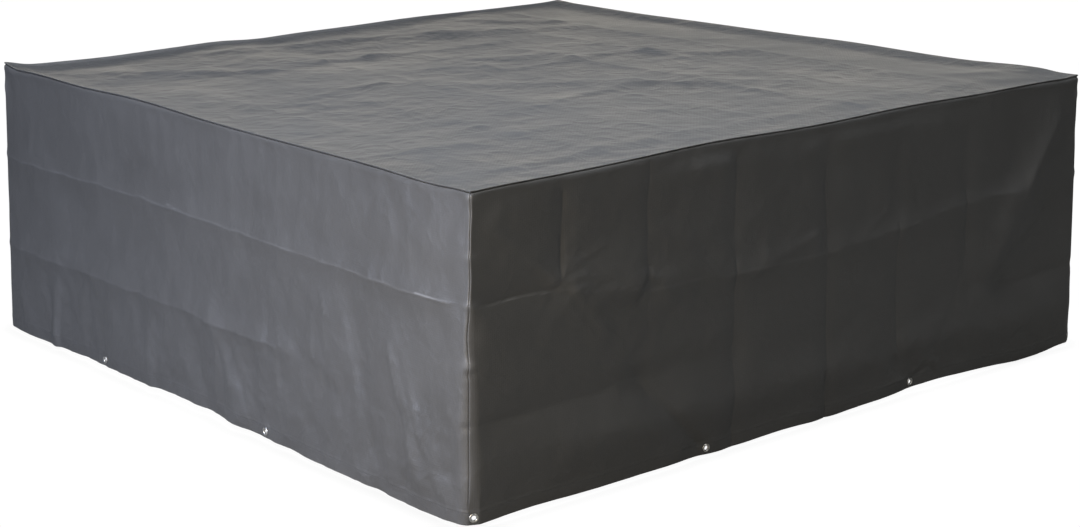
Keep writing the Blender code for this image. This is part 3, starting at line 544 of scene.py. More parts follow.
RIM_STEPS = (3.4, 7.0, 12.0, 18.0, 26.0, 36.0)  # in mm
TOP_EVEN_LINES = 99  # from the middle to one side

# Closer lines round a fold, a folded row and an eyelet: the room cleared to each side, how far
# the new lines reach, and how many there are. In metres, and in mm for a row.
FOLD_CROWD = (0.0105, 0.009, 9)
ROW_CROWD = (8.5, 7.5, 6)
EYELET_CROWD = (0.0165, 0.015, 13)

# Walls whose stations run the other way round, so that their faces and normals are turned.
TURNED = ("back", "left")


# ---------------------------------------------------------------- the cloth's surface


def calm(distance, reach):
    """0 at no distance, 1 at the reach and beyond, with a level start and end."""
    share = np.clip(distance / reach, 0.0, 1.0)
    return share * share * (3.0 - 2.0 * share)


def ridge(x, y, ax, ay, bx, by, spread):
    """1 along the segment from a to b, fading as a bell across it and past its ends."""
    length = np.hypot(bx - ax, by - ay)
    ux, uy = (bx - ax) / length, (by - ay) / length
    along = (x - ax) * ux + (y - ay) * uy
    past = np.maximum(np.maximum(-along, along - length), 0.0)
    across = (x - ax) * uy - (y - ay) * ux
    return np.exp(-(across**2 + past**2) / spread**2)


def waves(bells, along):
    """The sum of one wall's bells."""
    total = np.zeros_like(along)
    for centre, spread, rise in bells:
        total = total + rise * MM * np.exp(-(((along - centre) / spread) ** 2))
    return total


def patch(u, v, centre_u, spread_u, centre_v, spread_v):
    """A bell in two directions, 1 at its centre."""
    return np.exp(-(((u - centre_u) / spread_u) ** 2) - ((v - centre_v) / spread_v) ** 2)


def seam_height(wall, along):
    """Height of the seam: the mean, its waves, and an ear at each corner."""
    low, high = CORNERS[WALLS[wall].low], CORNERS[WALLS[wall].high]
    inner = calm(HALF - np.abs(along), WAVE_CALM)
    ears = low.ear * MM * np.exp(-(((along + HALF) / EAR_SPREAD) ** 2))
    ears = ears + high.ear * MM * np.exp(-(((HALF - along) / EAR_SPREAD) ** 2))
    return HEM_LIFT + WALL + ears + inner * waves(SEAM_WAVES[wall], along)


def hem_height(wall, along):
    """Height of the hem's edge above the ground."""
    return HEM_LIFT + calm(HALF - np.abs(along), WAVE_CALM) * waves(HEM_WAVES[wall], along)


def world_height(wall, across, height):
    """Height above the ground of a place up the cloth, between the hem's edge and the seam."""
    hem = hem_height(wall, across)
    return hem + (seam_height(wall, across) - hem) * height / WALL


def fold_lift(wall, along, height, mitre):
    """How far the folds carry the wall outwards: none within the mitre's distance of a corner."""
    total = np.zeros(np.broadcast(along, height).shape)
    for *ends, spread, lift in FOLDS[wall]:
        total = total + lift * MM * ridge(along, height, *ends, spread * MM)
    corner_room = calm(HALF - np.abs(along) - mitre, CORNER_CALM)
    return total * corner_room * calm(WALL - SEAM_BAND - height, SEAM_CALM)


def corner_point(name, share):
    """A corner's plan position, share 0 at the foot and 1 at the seam."""
    row = CORNERS[name]
    out_x = (row.foot_x + (row.seam_x - row.foot_x) * share) * MM
    out_y = (row.foot_y + (row.seam_y - row.foot_y) * share) * MM
    return row.side_x * HALF + out_x, row.side_y * HALF + out_y


def plan_point(wall, share, along, out, moved):
    """Plan position of a station: on the line between the wall's corners at a share of its
    height, then carried outwards and moved along the wall's own axis.
    """
    row = WALLS[wall]
    part = (along + HALF) / (2 * HALF)
    low_x, low_y = corner_point(row.low, share)
    high_x, high_y = corner_point(row.high, share)
    x = low_x + (high_x - low_x) * part + row.outward[0] * out + moved * (row.axis == 0)
    y = low_y + (high_y - low_y) * part + row.outward[1] * out + moved * (row.axis == 1)
    return x, y


def random_grid(seed, *shape):
    """Numbers from -1 to 1, the same on every run."""
    return np.random.default_rng(seed).uniform(-1.0, 1.0, shape)


def soft_noise(u, v, across, up, seed):
    """Soft hills and hollows from -1 to 1: random heights on a grid, joined by level-ended blends."""
    table = random_grid(seed, NOISE_CELLS, NOISE_CELLS)
    i, j = np.floor(u / across), np.floor(v / up)
    s, t = calm(u / across - i, 1.0), calm(v / up - j, 1.0)
    i, j = i.astype(int) % NOISE_CELLS, j.astype(int) % NOISE_CELLS
    next_i, next_j = (i + 1) % NOISE_CELLS, (j + 1) % NOISE_CELLS
    below = table[i, j] * (1 - s) + table[next_i, j] * s
    above = table[i, next_j] * (1 - s) + table[next_i, next_j] * s
    return below * (1 - t) + above * t


def bowls(u, v, across, up, seed):
    """Shallow bowls with sharp rims: each point takes the least of the nine tilted bowls whose
    centres are in the cells of a grid round it, squared distance plus tilt plus a random depth.
    """
    shift = 0.38 * random_grid(seed, BOWL_CELLS, BOWL_CELLS, 2)
    tilt = 0.55 * random_grid(seed + 500, BOWL_CELLS, BOWL_CELLS, 2)
    depth = 0.22 * random_grid(seed + 900, BOWL_CELLS, BOWL_CELLS)
    p, q = u / across, v / up
    i, j = np.floor(p).astype(int), np.floor(q).astype(int)
    least = np.full(np.broadcast(p, q).shape, 9.0)
    for di in (-1, 0, 1):
        for dj in (-1, 0, 1):
            cell = ((i + di) % BOWL_CELLS, (j + dj) % BOWL_CELLS)
            a = p - (i + di) - 0.5 - shift[cell][..., 0]
            b = q - (j + dj) - 0.5 - shift[cell][..., 1]
            bowl = a * a + b * b + tilt[cell][..., 0] * a + tilt[cell][..., 1] * b + depth[cell]
            least = np.minimum(least, bowl)
    return least


def crumple(place, u, v):
    """Facets of crumpled sheeting: bowls with raised rims less others with raised rims."""
    total = 0.0
    first, sizes = CRUMPLES[place]
    for seed, (height, across, up) in enumerate(sizes, first):
        patchy = 0.75 + 0.55 * soft_noise(u, v, 3.1 * across, 3.7 * up, seed + 7)
        raised = bowls(u, v, across, up, seed)
        sunk = bowls(u, v, 1.13 * across, 1.09 * up, seed + 3)
        total = total + height * MM * patchy * (raised - sunk)
    return total


def path_distance(u, v, path, stretch):
    """Distance of each point from the nearest segment of a path.

    Behind the path, seen from the near corner, it is divided by the stretch.
    """
    nearest = np.full(np.broadcast(u, v).shape, 9.0)
    for (au, av), (bu, bv) in zip(path[:-1], path[1:]):
        length = np.hypot(bu - au, bv - av)
        along = ((u - au) * (bu - au) + (v - av) * (bv - av)) / length**2
        along = np.clip(along, 0.0, 1.0)
        off_u, off_v = u - au - along * (bu - au), v - av - along * (bv - av)
        gap = np.hypot(off_u, off_v)
        behind = (BEHIND[0] * off_u + BEHIND[1] * off_v) / np.maximum(gap, 1e-9)
        behind = np.clip(0.5 + 0.9 * behind, 0.0, 1.0)
        nearest = np.minimum(nearest, gap / (1.0 + (stretch - 1.0) * behind))
    return nearest


def hand_folds(place, u, v):
    """Lift and paling of the listed folds.

    Each one wanders a few mm off its path and comes and goes along it. A soft fold is a bell of
    the distance from the path, a sharp one two straight flanks with a slightly blunted edge.
    """
    stretch = TOP_LEAN if place == "top" else 1.0
    wander_u = u + WANDER * soft_noise(u, v, WANDER_SPAN, WANDER_SPAN, 71)
    wander_v = v + WANDER * soft_noise(u, v, WANDER_SPAN, WANDER_SPAN, 72)
    uneven = 0.85 + 0.45 * soft_noise(u, v, UNEVEN_SPAN, UNEVEN_SPAN, 73)
    lift, pale = 0.0, 0.0
    for reach, rise, *path in SOFT.get(place, ()):
        gap = path_distance(wander_u, wander_v, path, stretch) / (reach * MM)
        lift = lift + rise * MM * np.exp(-(gap**2))
    for reach, rise, paling, *path in SHARP[place]:
        gap = path_distance(wander_u, wander_v, path, stretch) / (reach * MM)
        flanks = np.exp(-FOLD_FALL * np.sqrt(gap**2 + FOLD_BLUNT)) * uneven
        lift = lift + rise * MM * flanks
        pale = pale + paling * np.exp(-((gap / PALE_REACH) ** 2)) * uneven
    return lift, pale


def corner_radius(name, level):
    """The corner's rounding radius at a level up the cloth, in metres."""
    heights, radii = CORNER_RADII[name]
    return np.interp(level, heights, radii) * MM


def flat_turn(name):
    """The turn at which a corner's flat for an eyelet ends; it starts at the mitre."""
    return MITRE_TURN - 2.0 * np.arcsin(EYELET_FLAT / (2.0 * CORNERS[name].radius * MM))


def level_folds(wall, across, level, mitre):
    """The solids' folds, but straight across each eyelet's flat, as its flange holds them."""
    out = fold_lift(wall, across, level, mitre)
    for side, place in EYELETS:
        if side == wall and abs(place) < HALF:
            ends = [place - EYELET_FLAT / 2, place + EYELET_FLAT / 2]
            low, high = (fold_lift(wall, np.full_like(level, end), level, 0.0) for end in ends)
            share = np.clip((across - ends[0]) / EYELET_FLAT, 0.0, 1.0)
            held = (np.abs(across - place) <= EYELET_FLAT / 2) * (1 - calm(level - HEM_STRIP, 0.04))
            out = out + held * (low + (high - low) * share - out)
    return out


def eyelet_calm(wall, across, height):
    """0 under each eyelet's flange and 1 away from it, so that no fine relief lifts it."""
    total = 1.0
    for side, place in EYELETS:
        if side == wall:
            centre = place if abs(place) < HALF else place - np.sign(place) * CORNER_EYELET_INSET
            away = np.hypot(across - centre, height - EYELET_RISE)
            total = total * calm(away - FLANGE_HOLD, 0.016)
    return total


def wall_relief(wall, across, height, beside):
    """Fine relief of a wall and its paling: listed folds, crumpling, and puckers below the
    seam and round the hem's stitches. It dies out at the corners and under the eyelets.
    """
    lift, pale = hand_folds(wall, across, height)
    fine = crumple(wall, across, height)
    # the front wall is crumpled hardest round its star of folds, the left wall low down
    if wall == "front":
        fine = fine * (0.55 + 1.1 * patch(across, height, -0.5, 0.32, 0.45, 0.16))
    if wall == "left":
        fine = fine * (1.5 - 0.7 * calm(height - 0.20, 0.08))
    below = WALL - height
    # puckers 22 mm and 9 mm wide hang from the seam and fade over 35 mm
    pucker = soft_noise(across, height, 0.022, 0.30, 91)
    pucker = pucker + 0.6 * soft_noise(across, height, 0.009, 0.2, 92)
    pucker = pucker * np.exp(-(below / 0.035)) * calm(below - 0.008, 0.012)
    # narrower ones lie round the hem's stitches, and slack 340 mm wide all over the wall
    hem_pucker = soft_noise(across, height, 0.016, 0.2, 93)
    hem_pucker = hem_pucker * np.exp(-(((height - 0.028) / 0.012) ** 2))
    slack = 1.6 * MM * soft_noise(across, height, 0.34, 0.25, 94)
    total = lift + fine + 0.9 * MM * pucker + 0.35 * MM * hem_pucker
    total = total + slack * calm(height - 0.03, 0.10)
    total = total * calm(beside - 0.004, 0.035) * calm(below - 0.004, 0.016)
    return total * eyelet_calm(wall, across, height), pale


def hem_profile(height):
    """The hem stands proud of the single cloth, with a dimple along its row of stitches."""
    step = HEM_PROUD * (1.0 - calm(height - HEM_STEP, HEM_STEP_HEIGHT))
    dimple = STITCH_DIMPLE * np.exp(-(((height - STITCH_LINE) / STITCH_DIMPLE_REACH) ** 2))
    return step - dimple - SHEET_SINK


def seam_profile(wall, across, height):
    """The wall's turn into the seam below the top: it swells, then dives into the groove."""
    below = (WALL - height) / MM
    depth = 1.0 if wall in ("left", "back") else 0.55
    groove = depth * np.interp(below, *SEAM_GROOVE)
    swell = np.interp(below, *SEAM_SWELL)
    uneven = 1.0 + 0.35 * soft_noise(across, height, 0.030, 0.5, 95)
    patchy = 0.8 + 0.6 * soft_noise(across, height, 0.10, 0.5, 96)
    return (groove * uneven + swell * patchy) * MM


def corner_seam(beside):
    """The corner seam: both walls turn in at it, past a low roll on each side."""
    return np.interp(beside / MM, *CORNER_ROLL) * MM


def wall_surface(wall, stations, height):
    """Outer face of a wall at every height and station, finer relief included.

    A station is (along, turn, rounding). Straight ones have no rounding, those on a corner's
    arc have rounding 1 and a turn of up to 45 degrees, and those between blend the two. Gives
    the points, how pale each is, and its place (arc length along, height up the cloth).
    """
    row = WALLS[wall]
    along, turn, rounding = (part[None, :] for part in stations)
    height = np.asarray(height, float)[:, None]
    side = np.sign(along)
    level = np.maximum(height, HEM_STRIP) + 0.0 * along
    share = (level - HEM_STRIP) / (WALL - HEM_STRIP)
    radius = np.where(along < 0, corner_radius(row.low, level), corner_radius(row.high, level))
    foot = np.where(along < 0, CORNERS[row.low].radius, CORNERS[row.high].radius) * MM
    sine, cosine = np.sin(turn) + 0.0 * level, np.cos(turn) + 0.0 * level
    for eyelet_wall, place in EYELETS:
        if eyelet_wall == wall and abs(place) >= HALF:
            # the flat under the corner's eyelet is a chord of the arc
            last = flat_turn(row.low if place < 0 else row.high)
            on_it = (side == np.sign(place)) * (turn >= last - 1e-9) * (rounding >= 1.0)
            held = on_it * (1.0 - calm(height - HEM_STRIP, 0.06))
            part = np.clip((MITRE_TURN - turn) / (MITRE_TURN - last), 0.0, 1.0)
            chord_sine = np.sin(MITRE_TURN) * (1 - part) + np.sin(last) * part
            chord_cosine = np.cos(MITRE_TURN) * (1 - part) + np.cos(last) * part
            sine = sine + held * (chord_sine - sine)
            cosine = cosine + held * (chord_cosine - cosine)
    moved = -side * rounding * radius * (1.0 - sine)
    across = along + moved
    from_end = HALF - np.abs(across)
    beside = np.where(turn > 0, radius * (MITRE_TURN - turn), from_end - radius * (1 - np.pi / 4))
    relief, pale = wall_relief(wall, across, height + 0.0 * along, beside)
    relief = relief + hem_profile(height) + seam_profile(wall, across, height)
    relief = relief + corner_seam(beside) * calm(height - 0.030, 0.03)
    out = level_folds(wall, across, level, MITRE_SHARE * foot) - rounding * radius * (1.0 - cosine)
    moved = moved + relief * side * np.sin(turn)
    out = out + relief * np.cos(turn)
    x, y = plan_point(wall, share, along, out, moved)
    for name, tucks in TUCKS.items():
        if name in (row.low, row.high):
            corner = CORNERS[name]
            here = (along < 0) if name == row.low else (along > 0)
            for middle, spread, outwards, aside in tucks:
                shape = np.exp(-(((height - middle) / spread) ** 2) - (beside / TUCK_REACH) ** 2)
                shape = shape * here * MM / np.sqrt(2.0)
                # out along the corner's diagonal, aside square to it
                x = x + shape * (outwards * corner.side_x - aside * corner.side_y)
                y = y + shape * (outwards * corner.side_y + aside * corner.side_x)
                pale = pale + 0.12 * max(outwards, 0.0) * shape / MM
    z = world_height(wall, across, height)
    arc = side * (HALF - np.maximum(beside, 0.0))
    points = np.stack(np.broadcast_arrays(x, y, z), axis=-1)
    place = np.stack(np.broadcast_arrays(arc, height), axis=-1)
    return points, np.clip(pale, 0.0, 1.0), place


def crowd(lines, centre, room, reach, count):
    """The lines, with those in the room round a centre replaced by closer ones."""
    return np.concatenate([lines[np.abs(lines - centre) > room], centre + np.linspace(-reach, reach, count)])


def wall_stations(wall):
    """Stations of a wall: close on the corners' arcs and round eyelets, even between them."""
    row = WALLS[wall]
    ends = {}
    blend = np.array(BLEND_SHARES)
    for side, name in ((-1, row.low), (1, row.high)):
        turns = MITRE_TURN - np.radians(TURN_DEGREES)
        if (wall, float(side)) in EYELETS:
            flat = flat_turn(name)
            on_flat = MITRE_TURN + (flat - MITRE_TURN) * np.array(FLAT_SHARES)
            turns = np.concatenate([on_flat, flat * np.array(ARC_SHARES)])
        along = np.concatenate([np.full(len(turns), HALF), HALF - blend * (HALF - STRAIGHT)])
        rounding = np.concatenate([np.ones(len(turns)), 1.0 - blend])
        turns = np.concatenate([turns, np.zeros(len(blend))])
        ends[side] = (side * along, turns, rounding)
    straight = np.linspace(-STRAIGHT, STRAIGHT, EVEN_STATIONS)[1:-1]
    for line in FOLD_LINES.get(wall, ()):
        straight = crowd(straight, line, *FOLD_CROWD)
    for side, place in EYELETS:
        if side == wall and abs(place) < HALF:
            straight = crowd(straight, place, *EYELET_CROWD)
    straight = np.sort(straight)
    flat = np.zeros(len(straight))
    low, high = ends[-1], ends[1]
    return tuple(np.concatenate([low[k], (straight, flat, flat)[k], high[k][::-1]]) for k in range(3))


def wall_heights():
    """Rows of a wall: close in the hem and in the turn below the seam, even between them."""
    even = np.linspace(*EVEN_ROWS)
    for row in FOLD_ROWS:
        even = crowd(even, row, *ROW_CROWD)
    return np.concatenate([HEM_ROWS, np.sort(even), WALL / MM - np.array(SEAM_ROWS)]) * MM


# ---------------------------------------------------------------- meshes


def grid_normals(points):
    """Unit normals of a grid of points, from its rows and columns."""
    rows, columns = np.gradient(points, axis=0), np.gradient(points, axis=1)
    normal = np.cross(columns, rows)
    return normal / np.maximum(np.linalg.norm(normal, axis=-1, keepdims=True), 1e-12)


def mesh_object(name, points, faces, material):
    """A smooth-shaded object of quads, at the origin."""
    mesh = bpy.data.meshes.new(name)
    mesh.vertices.add(len(points))
    mesh.vertices.foreach_set("co", np.asarray(points, np.float32).ravel())
    mesh.loops.add(4 * len(faces))
    mesh.loops.foreach_set("vertex_index", np.asarray(faces, np.int32).ravel())
    mesh.polygons.add(len(faces))
    mesh.polygons.foreach_set("loop_start", np.arange(0, 4 * len(faces), 4, dtype=np.int32))
    mesh.update(calc_edges=True)
    mesh.validate()
    mesh.shade_smooth()
    mesh.materials.append(material)
    piece = bpy.data.objects.new(name, mesh)
    bpy.context.scene.collection.objects.link(piece)
    return piece


def cloth_piece(name, outer, thickness, kept, turned, place, wear, material):
    """A thin closed sheet: the outer face, the same face moved in by the thickness along its
    normals, and a strip that joins the two along every edge of the cells that are kept.

    The map "cloth" holds each point's place on the cloth in metres. Wear gives the values of
    "pale", how far the film has whitened, and "crinkle", how hard the cloth has been crumpled.
    """
    normal = grid_normals(outer) * (-1.0 if turned else 1.0)
    inner = outer - normal * np.broadcast_to(thickness, outer.shape[:2])[..., None]
    count = outer.shape[0] * outer.shape[1]
    index = np.arange(count).reshape(outer.shape[:2])
    quads = np.stack([index[:-1, :-1], index[:-1, 1:], index[1:, 1:], index[1:, :-1]], axis=-1)[kept]
    if turned:
        quads = quads[:, ::-1]
    start, end = quads.ravel(), np.roll(quads, -1, axis=1).ravel()
    open_edge = ~np.isin(start * count + end, end * count + start)
    a, b = start[open_edge], end[open_edge]
    strip = np.stack([b, a, a + count, b + count], axis=-1)
    faces = np.concatenate([quads, quads[:, ::-1] + count, strip])
    used, faces = np.unique(faces, return_inverse=True)
    faces = faces.reshape(-1, 4)
    points = np.concatenate([outer.reshape(-1, 3), inner.reshape(-1, 3)])[used]
    points[:, 2] = np.maximum(points[:, 2], GROUND_GAP)
    piece = mesh_object(name, points, faces, material)
    chart = np.concatenate([place.reshape(-1, 2)] * 2)[used]
    chart = chart[faces.ravel()].astype(np.float32)
    piece.data.uv_layers.new(name="cloth").data.foreach_set("uv", chart.ravel())
    for kind, values in wear.items():
        values = np.concatenate([values.ravel()] * 2)[used].astype(np.float32)
        piece.data.attributes.new(kind, "FLOAT", "POINT").data.foreach_set("value", values)
    return piece


# ---------------------------------------------------------------- walls


def eyelet_frame(wall, place):
    """An eyelet's centre on the outer face of the solids' hem, and its outward direction."""
    row = WALLS[wall]
    if abs(place) >= HALF:
        name = row.low if place < 0 else row.high
        turns = np.array([MITRE_TURN, flat_turn(name)])
        radius = CORNERS[name].radius * MM
        along = np.full(2, place)
        moved = -np.sign(place) * radius * (1.0 - np.sin(turns))
        out = -radius * (1.0 - np.cos(turns))
    else:
        along = place + np.array([-0.5, 0.5]) * EYELET_FLAT
        moved = np.zeros(2)
        out = fold_lift(wall, along, np.full(2, HEM_STRIP), 0.0)
    x, y = plan_point(wall, 0.0, along, out, moved)
    z = world_height(wall, along + moved, EYELET_RISE)
    first, second = np.stack([x, y, z], axis=-1)
    chord = second - first
    outward = np.array([chord[1], -chord[0], 0.0])
    outward *= np.sign(outward[:2] @ np.array(row.outward))
    return (first + second) / 2, outward / np.linalg.norm(outward)


def wall_crinkle(wall, along, height):
    """How hard each spot of a wall has been crumpled: most near the near corner and low down."""
    low = 1.0 - calm(height - 0.12, 0.14)
    if wall == "left":
        return 0.24 + 0.16 * low + 0.1 * (1.0 - calm(along + 0.9, 0.5))
    if wall == "front":
        return 0.20 + 0.25 * patch(along, height, -0.5, 0.34, 0.44, 0.16) + 0.10 * low
    return 0.5 + 0.2 * low


def make_wall(wall, material):
    """One wall with its hem, holed behind each eyelet."""
    heights = wall_heights()
    points, pale, place = wall_surface(wall, wall_stations(wall), heights)
    kept = np.ones((points.shape[0] - 1, points.shape[1] - 1), bool)
    middles = (points[:-1, :-1] + points[1:, 1:] + points[:-1, 1:] + points[1:, :-1]) / 4
    for side, along in EYELETS:
        if side == wall:
            centre, _ = eyelet_frame(wall, along)
            kept &= np.linalg.norm(middles - centre, axis=-1) > HOLE_RADIUS
    single = calm(heights - HEM_STEP - SHEET_EDGE, HEM_STEP_HEIGHT)
    thickness = (HEM_DOUBLE + (CLOTH - HEM_DOUBLE) * single)[:, None]
    wear = {"pale": pale, "crinkle": wall_crinkle(wall, place[..., 0], place[..., 1])}
    return cloth_piece(wall + "_cloth", points, thickness, kept, wall in TURNED, place, wear, material)


def hem_stitches(wall, material):
    """The lockstitches of one hem: each a short capsule of six sides, half sunk in the cloth.

    They are set along the hem's own line by arc length, a stitch and a small gap at a time.
    """
    pitch, length, radius, from_ends = 4.0 * MM, 2.9 * MM, 0.38 * MM, 6 * MM
    rows = [STITCH_LINE - 0.2 * MM, STITCH_LINE + 0.2 * MM]
    line, _, _ = wall_surface(wall, wall_stations(wall), rows)
    along = np.diff(line[0], axis=0)
    travelled = np.concatenate([[0.0], np.cumsum(np.linalg.norm(along, axis=-1))])
    spots = np.arange(travelled[0] + from_ends, travelled[-1] - from_ends, pitch)
    centre = np.stack([np.interp(spots, travelled, line[0][:, k]) for k in range(3)], axis=-1)
    ahead = [np.interp(spots + pitch / 2, travelled, line[0][:, k]) for k in range(3)]
    ahead = np.stack(ahead, axis=-1) - centre
    ahead /= np.linalg.norm(ahead, axis=-1, keepdims=True)
    upward = np.array([0.0, 0.0, 1.0])
    outward = np.cross(ahead, upward) * (-1.0 if wall in TURNED else 1.0)
    outward /= np.linalg.norm(outward, axis=-1, keepdims=True)
    steps = np.array([-0.5, -0.36, 0.0, 0.36, 0.5]) * length
    widths = np.array([0.15, 0.85, 1.0, 0.85, 0.15]) * radius
    sinks = np.array([-0.5, 0.0, 0.25, 0.0, -0.5]) * radius
    angles = np.arange(6) * np.pi / 3
    ring = (
        steps[:, None, None] * ahead[:, None, None, :]
        + (widths[:, None] * np.cos(angles) + sinks[:, None])[..., None] * outward[:, None, None, :]
        + (widths[:, None] * np.sin(angles))[..., None] * upward
    )
    points = centre[:, None, None, :] + ring
    index = np.arange(points.shape[0] * 30).reshape(-1, 5, 6)
    around = np.roll(index, -1, axis=2)
    sides = np.stack([index[:, :-1], around[:, :-1], around[:, 1:], index[:, 1:]], axis=-1).reshape(-1, 4)
    first, last = index[:, 0], index[:, -1]
    caps = [first[:, [3, 2, 1, 0]], first[:, [5, 4, 3, 0]], last[:, [0, 1, 2, 3]], last[:, [0, 3, 4, 5]]]
    faces = np.concatenate([sides, *caps])
    if wall not in TURNED:
        faces = faces[:, ::-1]
    return mesh_object(wall + "_hem_stitches", points.reshape(-1, 3), faces, material)


# ---------------------------------------------------------------- top


def top_lines():
    """Grid lines of the top as (distance from the seam, station): close in the rolled rim.

    The first lines lie on the seam's arc at each corner, as the walls' stations do.
    """
    turns = np.radians(RIM_DEGREES)
    rolled = SEAM_RADIUS * (np.sin(MITRE_TURN) - np.sin(turns))
    near = rolled[-1] + np.array(RIM_STEPS) * MM
    even = np.linspace(0.0, HALF - near[-1], TOP_EVEN_LINES)[:-1]
    distance = np.concatenate([rolled, near, (HALF - even)[::-1]])
    straight = np.zeros(len(near) + len(even))
    turn = np.concatenate([turns, straight])
    rounding = np.concatenate([np.ones(len(turns)), straight])
    along = np.where(rounding > 0, HALF, HALF - distance)
    return distance, along, turn, rounding


def mirrored_lines(folds):
    """The lines from one side to the other: position, and stations (along, turn, rounding).

    They crowd together beside each of the folds that cross them.
    """
    distance, along, turn, rounding = top_lines()
    position = np.concatenate([-(HALF - distance[:-1]), (HALF - distance)[::-1]])
    along = np.concatenate([-along[:-1], along[::-1]])
    turn, rounding = (np.concatenate([part[:-1], part[::-1]]) for part in (turn, rounding))
    moved = np.zeros_like(position)
    for fold in folds:
        away = position - fold
        moved = moved - CROWDING * away * np.exp(-((away / CROWD_REACH) ** 2))
    return position + moved, (along + moved * (rounding == 0), turn, rounding)


def seam_line(wall, stations):
    """The seam's line above one wall: its plan line at full height, with no relief."""
    along, turn, rounding = stations
    moved = -np.sign(along) * rounding * SEAM_RADIUS * (1.0 - np.sin(turn))
    out = -rounding * SEAM_RADIUS * (1.0 - np.cos(turn))
    x, y = plan_point(wall, 1.0, along, out, moved)
    return np.stack([x, y, seam_height(wall, along + moved)], axis=-1)


def rim_roll(distance, across, seed):
    """The rolled rim beside the seam: how far it moves inwards and rises, in metres.

    It starts in the groove, bulges out over the wall and comes back level with the seam.
    """
    away = distance / MM
    uneven = 1.0 + 0.30 * soft_noise(across, 0.0 * across, 0.026, 1.0, seed)
    inwards = np.interp(away, *RIM_INWARDS) * np.where(away > 0.5, uneven, 1.0)
    return inwards * MM, np.interp(away, *RIM_RISE) * MM


def make_top(material):
    """The top panel: a patch through the four seam lines, which slopes inwards at its rim, sags
    in the middle, and carries the creases of the solid with finer ones and crumpling over them.
    """
    across, stations = mirrored_lines(PACKING_FOLDS)
    position, even_stations = mirrored_lines(())
    u = ((across + HALF) / (2 * HALF))[None, :]
    v = ((position + HALF) / (2 * HALF))[:, None]
    edges = {wall: seam_line(wall, even_stations if row.axis else stations) for wall, row in WALLS.items()}
    sheet = []
    for k in range(3):
        front, back, left, right = (edges[wall][:, k] for wall in ("front", "back", "left", "right"))
        corners = (1 - u) * (1 - v) * front[0] + u * (1 - v) * front[-1]
        corners = corners + (1 - u) * v * back[0] + u * v * back[-1]
        pairs = (1 - v) * front[None, :] + v * back[None, :]
        pairs = pairs + (1 - u) * left[:, None] + u * right[:, None]
        sheet.append(pairs - corners)
    x, y, z = sheet
    distance = {
        "front": (HALF + position)[:, None],
        "back": (HALF - position)[:, None],
        "left": (HALF + across)[None, :],
        "right": (HALF - across)[None, :],
    }
    depth, weight, inside = 0.0, 0.0, 1.0
    for wall in WALLS:
        share = 1.0 / (distance[wall] + RIM_BLEND) ** 2
        depth = depth + share * RIM_DEPTH[wall] * MM
        weight = weight + share
        slope = (distance[wall] / (RIM_WIDTH[wall] * MM)) ** RIM_POWER[wall]
        inside = inside * (1.0 - np.exp(-slope))
    nearest = np.minimum(HALF - np.abs(position)[:, None], HALF - np.abs(across)[None, :])
    z = z - inside * depth / weight - TOP_SAG * calm(nearest, SAG_REACH)
    for *ends, spread, rise in CREASES:
        z = z + inside * CREASE_SHARE * rise * MM * ridge(x, y, *ends, spread * MM)
    lift, pale = hand_folds("top", x, y)
    smooth = 1.0 - 0.75 * calm(x - 0.70, 0.05) * (1 - calm(x - 0.90, 0.05))
    z = z + inside * (lift + smooth * crumple("top", x, y)) * calm(nearest - 0.006, 0.03)
    rise = np.zeros_like(z)
    for seed, wall in enumerate(WALLS):
        moved, raised = rim_roll(distance[wall] + 0.0 * z, y if WALLS[wall].axis else x, 81 + seed)
        rise = np.where(np.abs(raised) > np.abs(rise), raised, rise)
        x = x - WALLS[wall].outward[0] * moved
        y = y - WALLS[wall].outward[1] * moved
    points = np.stack([x, y, z + rise], axis=-1)
    place = np.stack([x, y], axis=-1)
    kept = np.ones((len(position) - 1, len(position) - 1), bool)
    wear = {"pale": np.clip(pale + 0.0 * z, 0.0, 1.0), "crinkle": TOP_CRINKLE * smooth + 0.0 * z}
    return cloth_piece("top_cloth", points, CLOTH, kept, False, place, wear, material)


# ---------------------------------------------------------------- eyelets


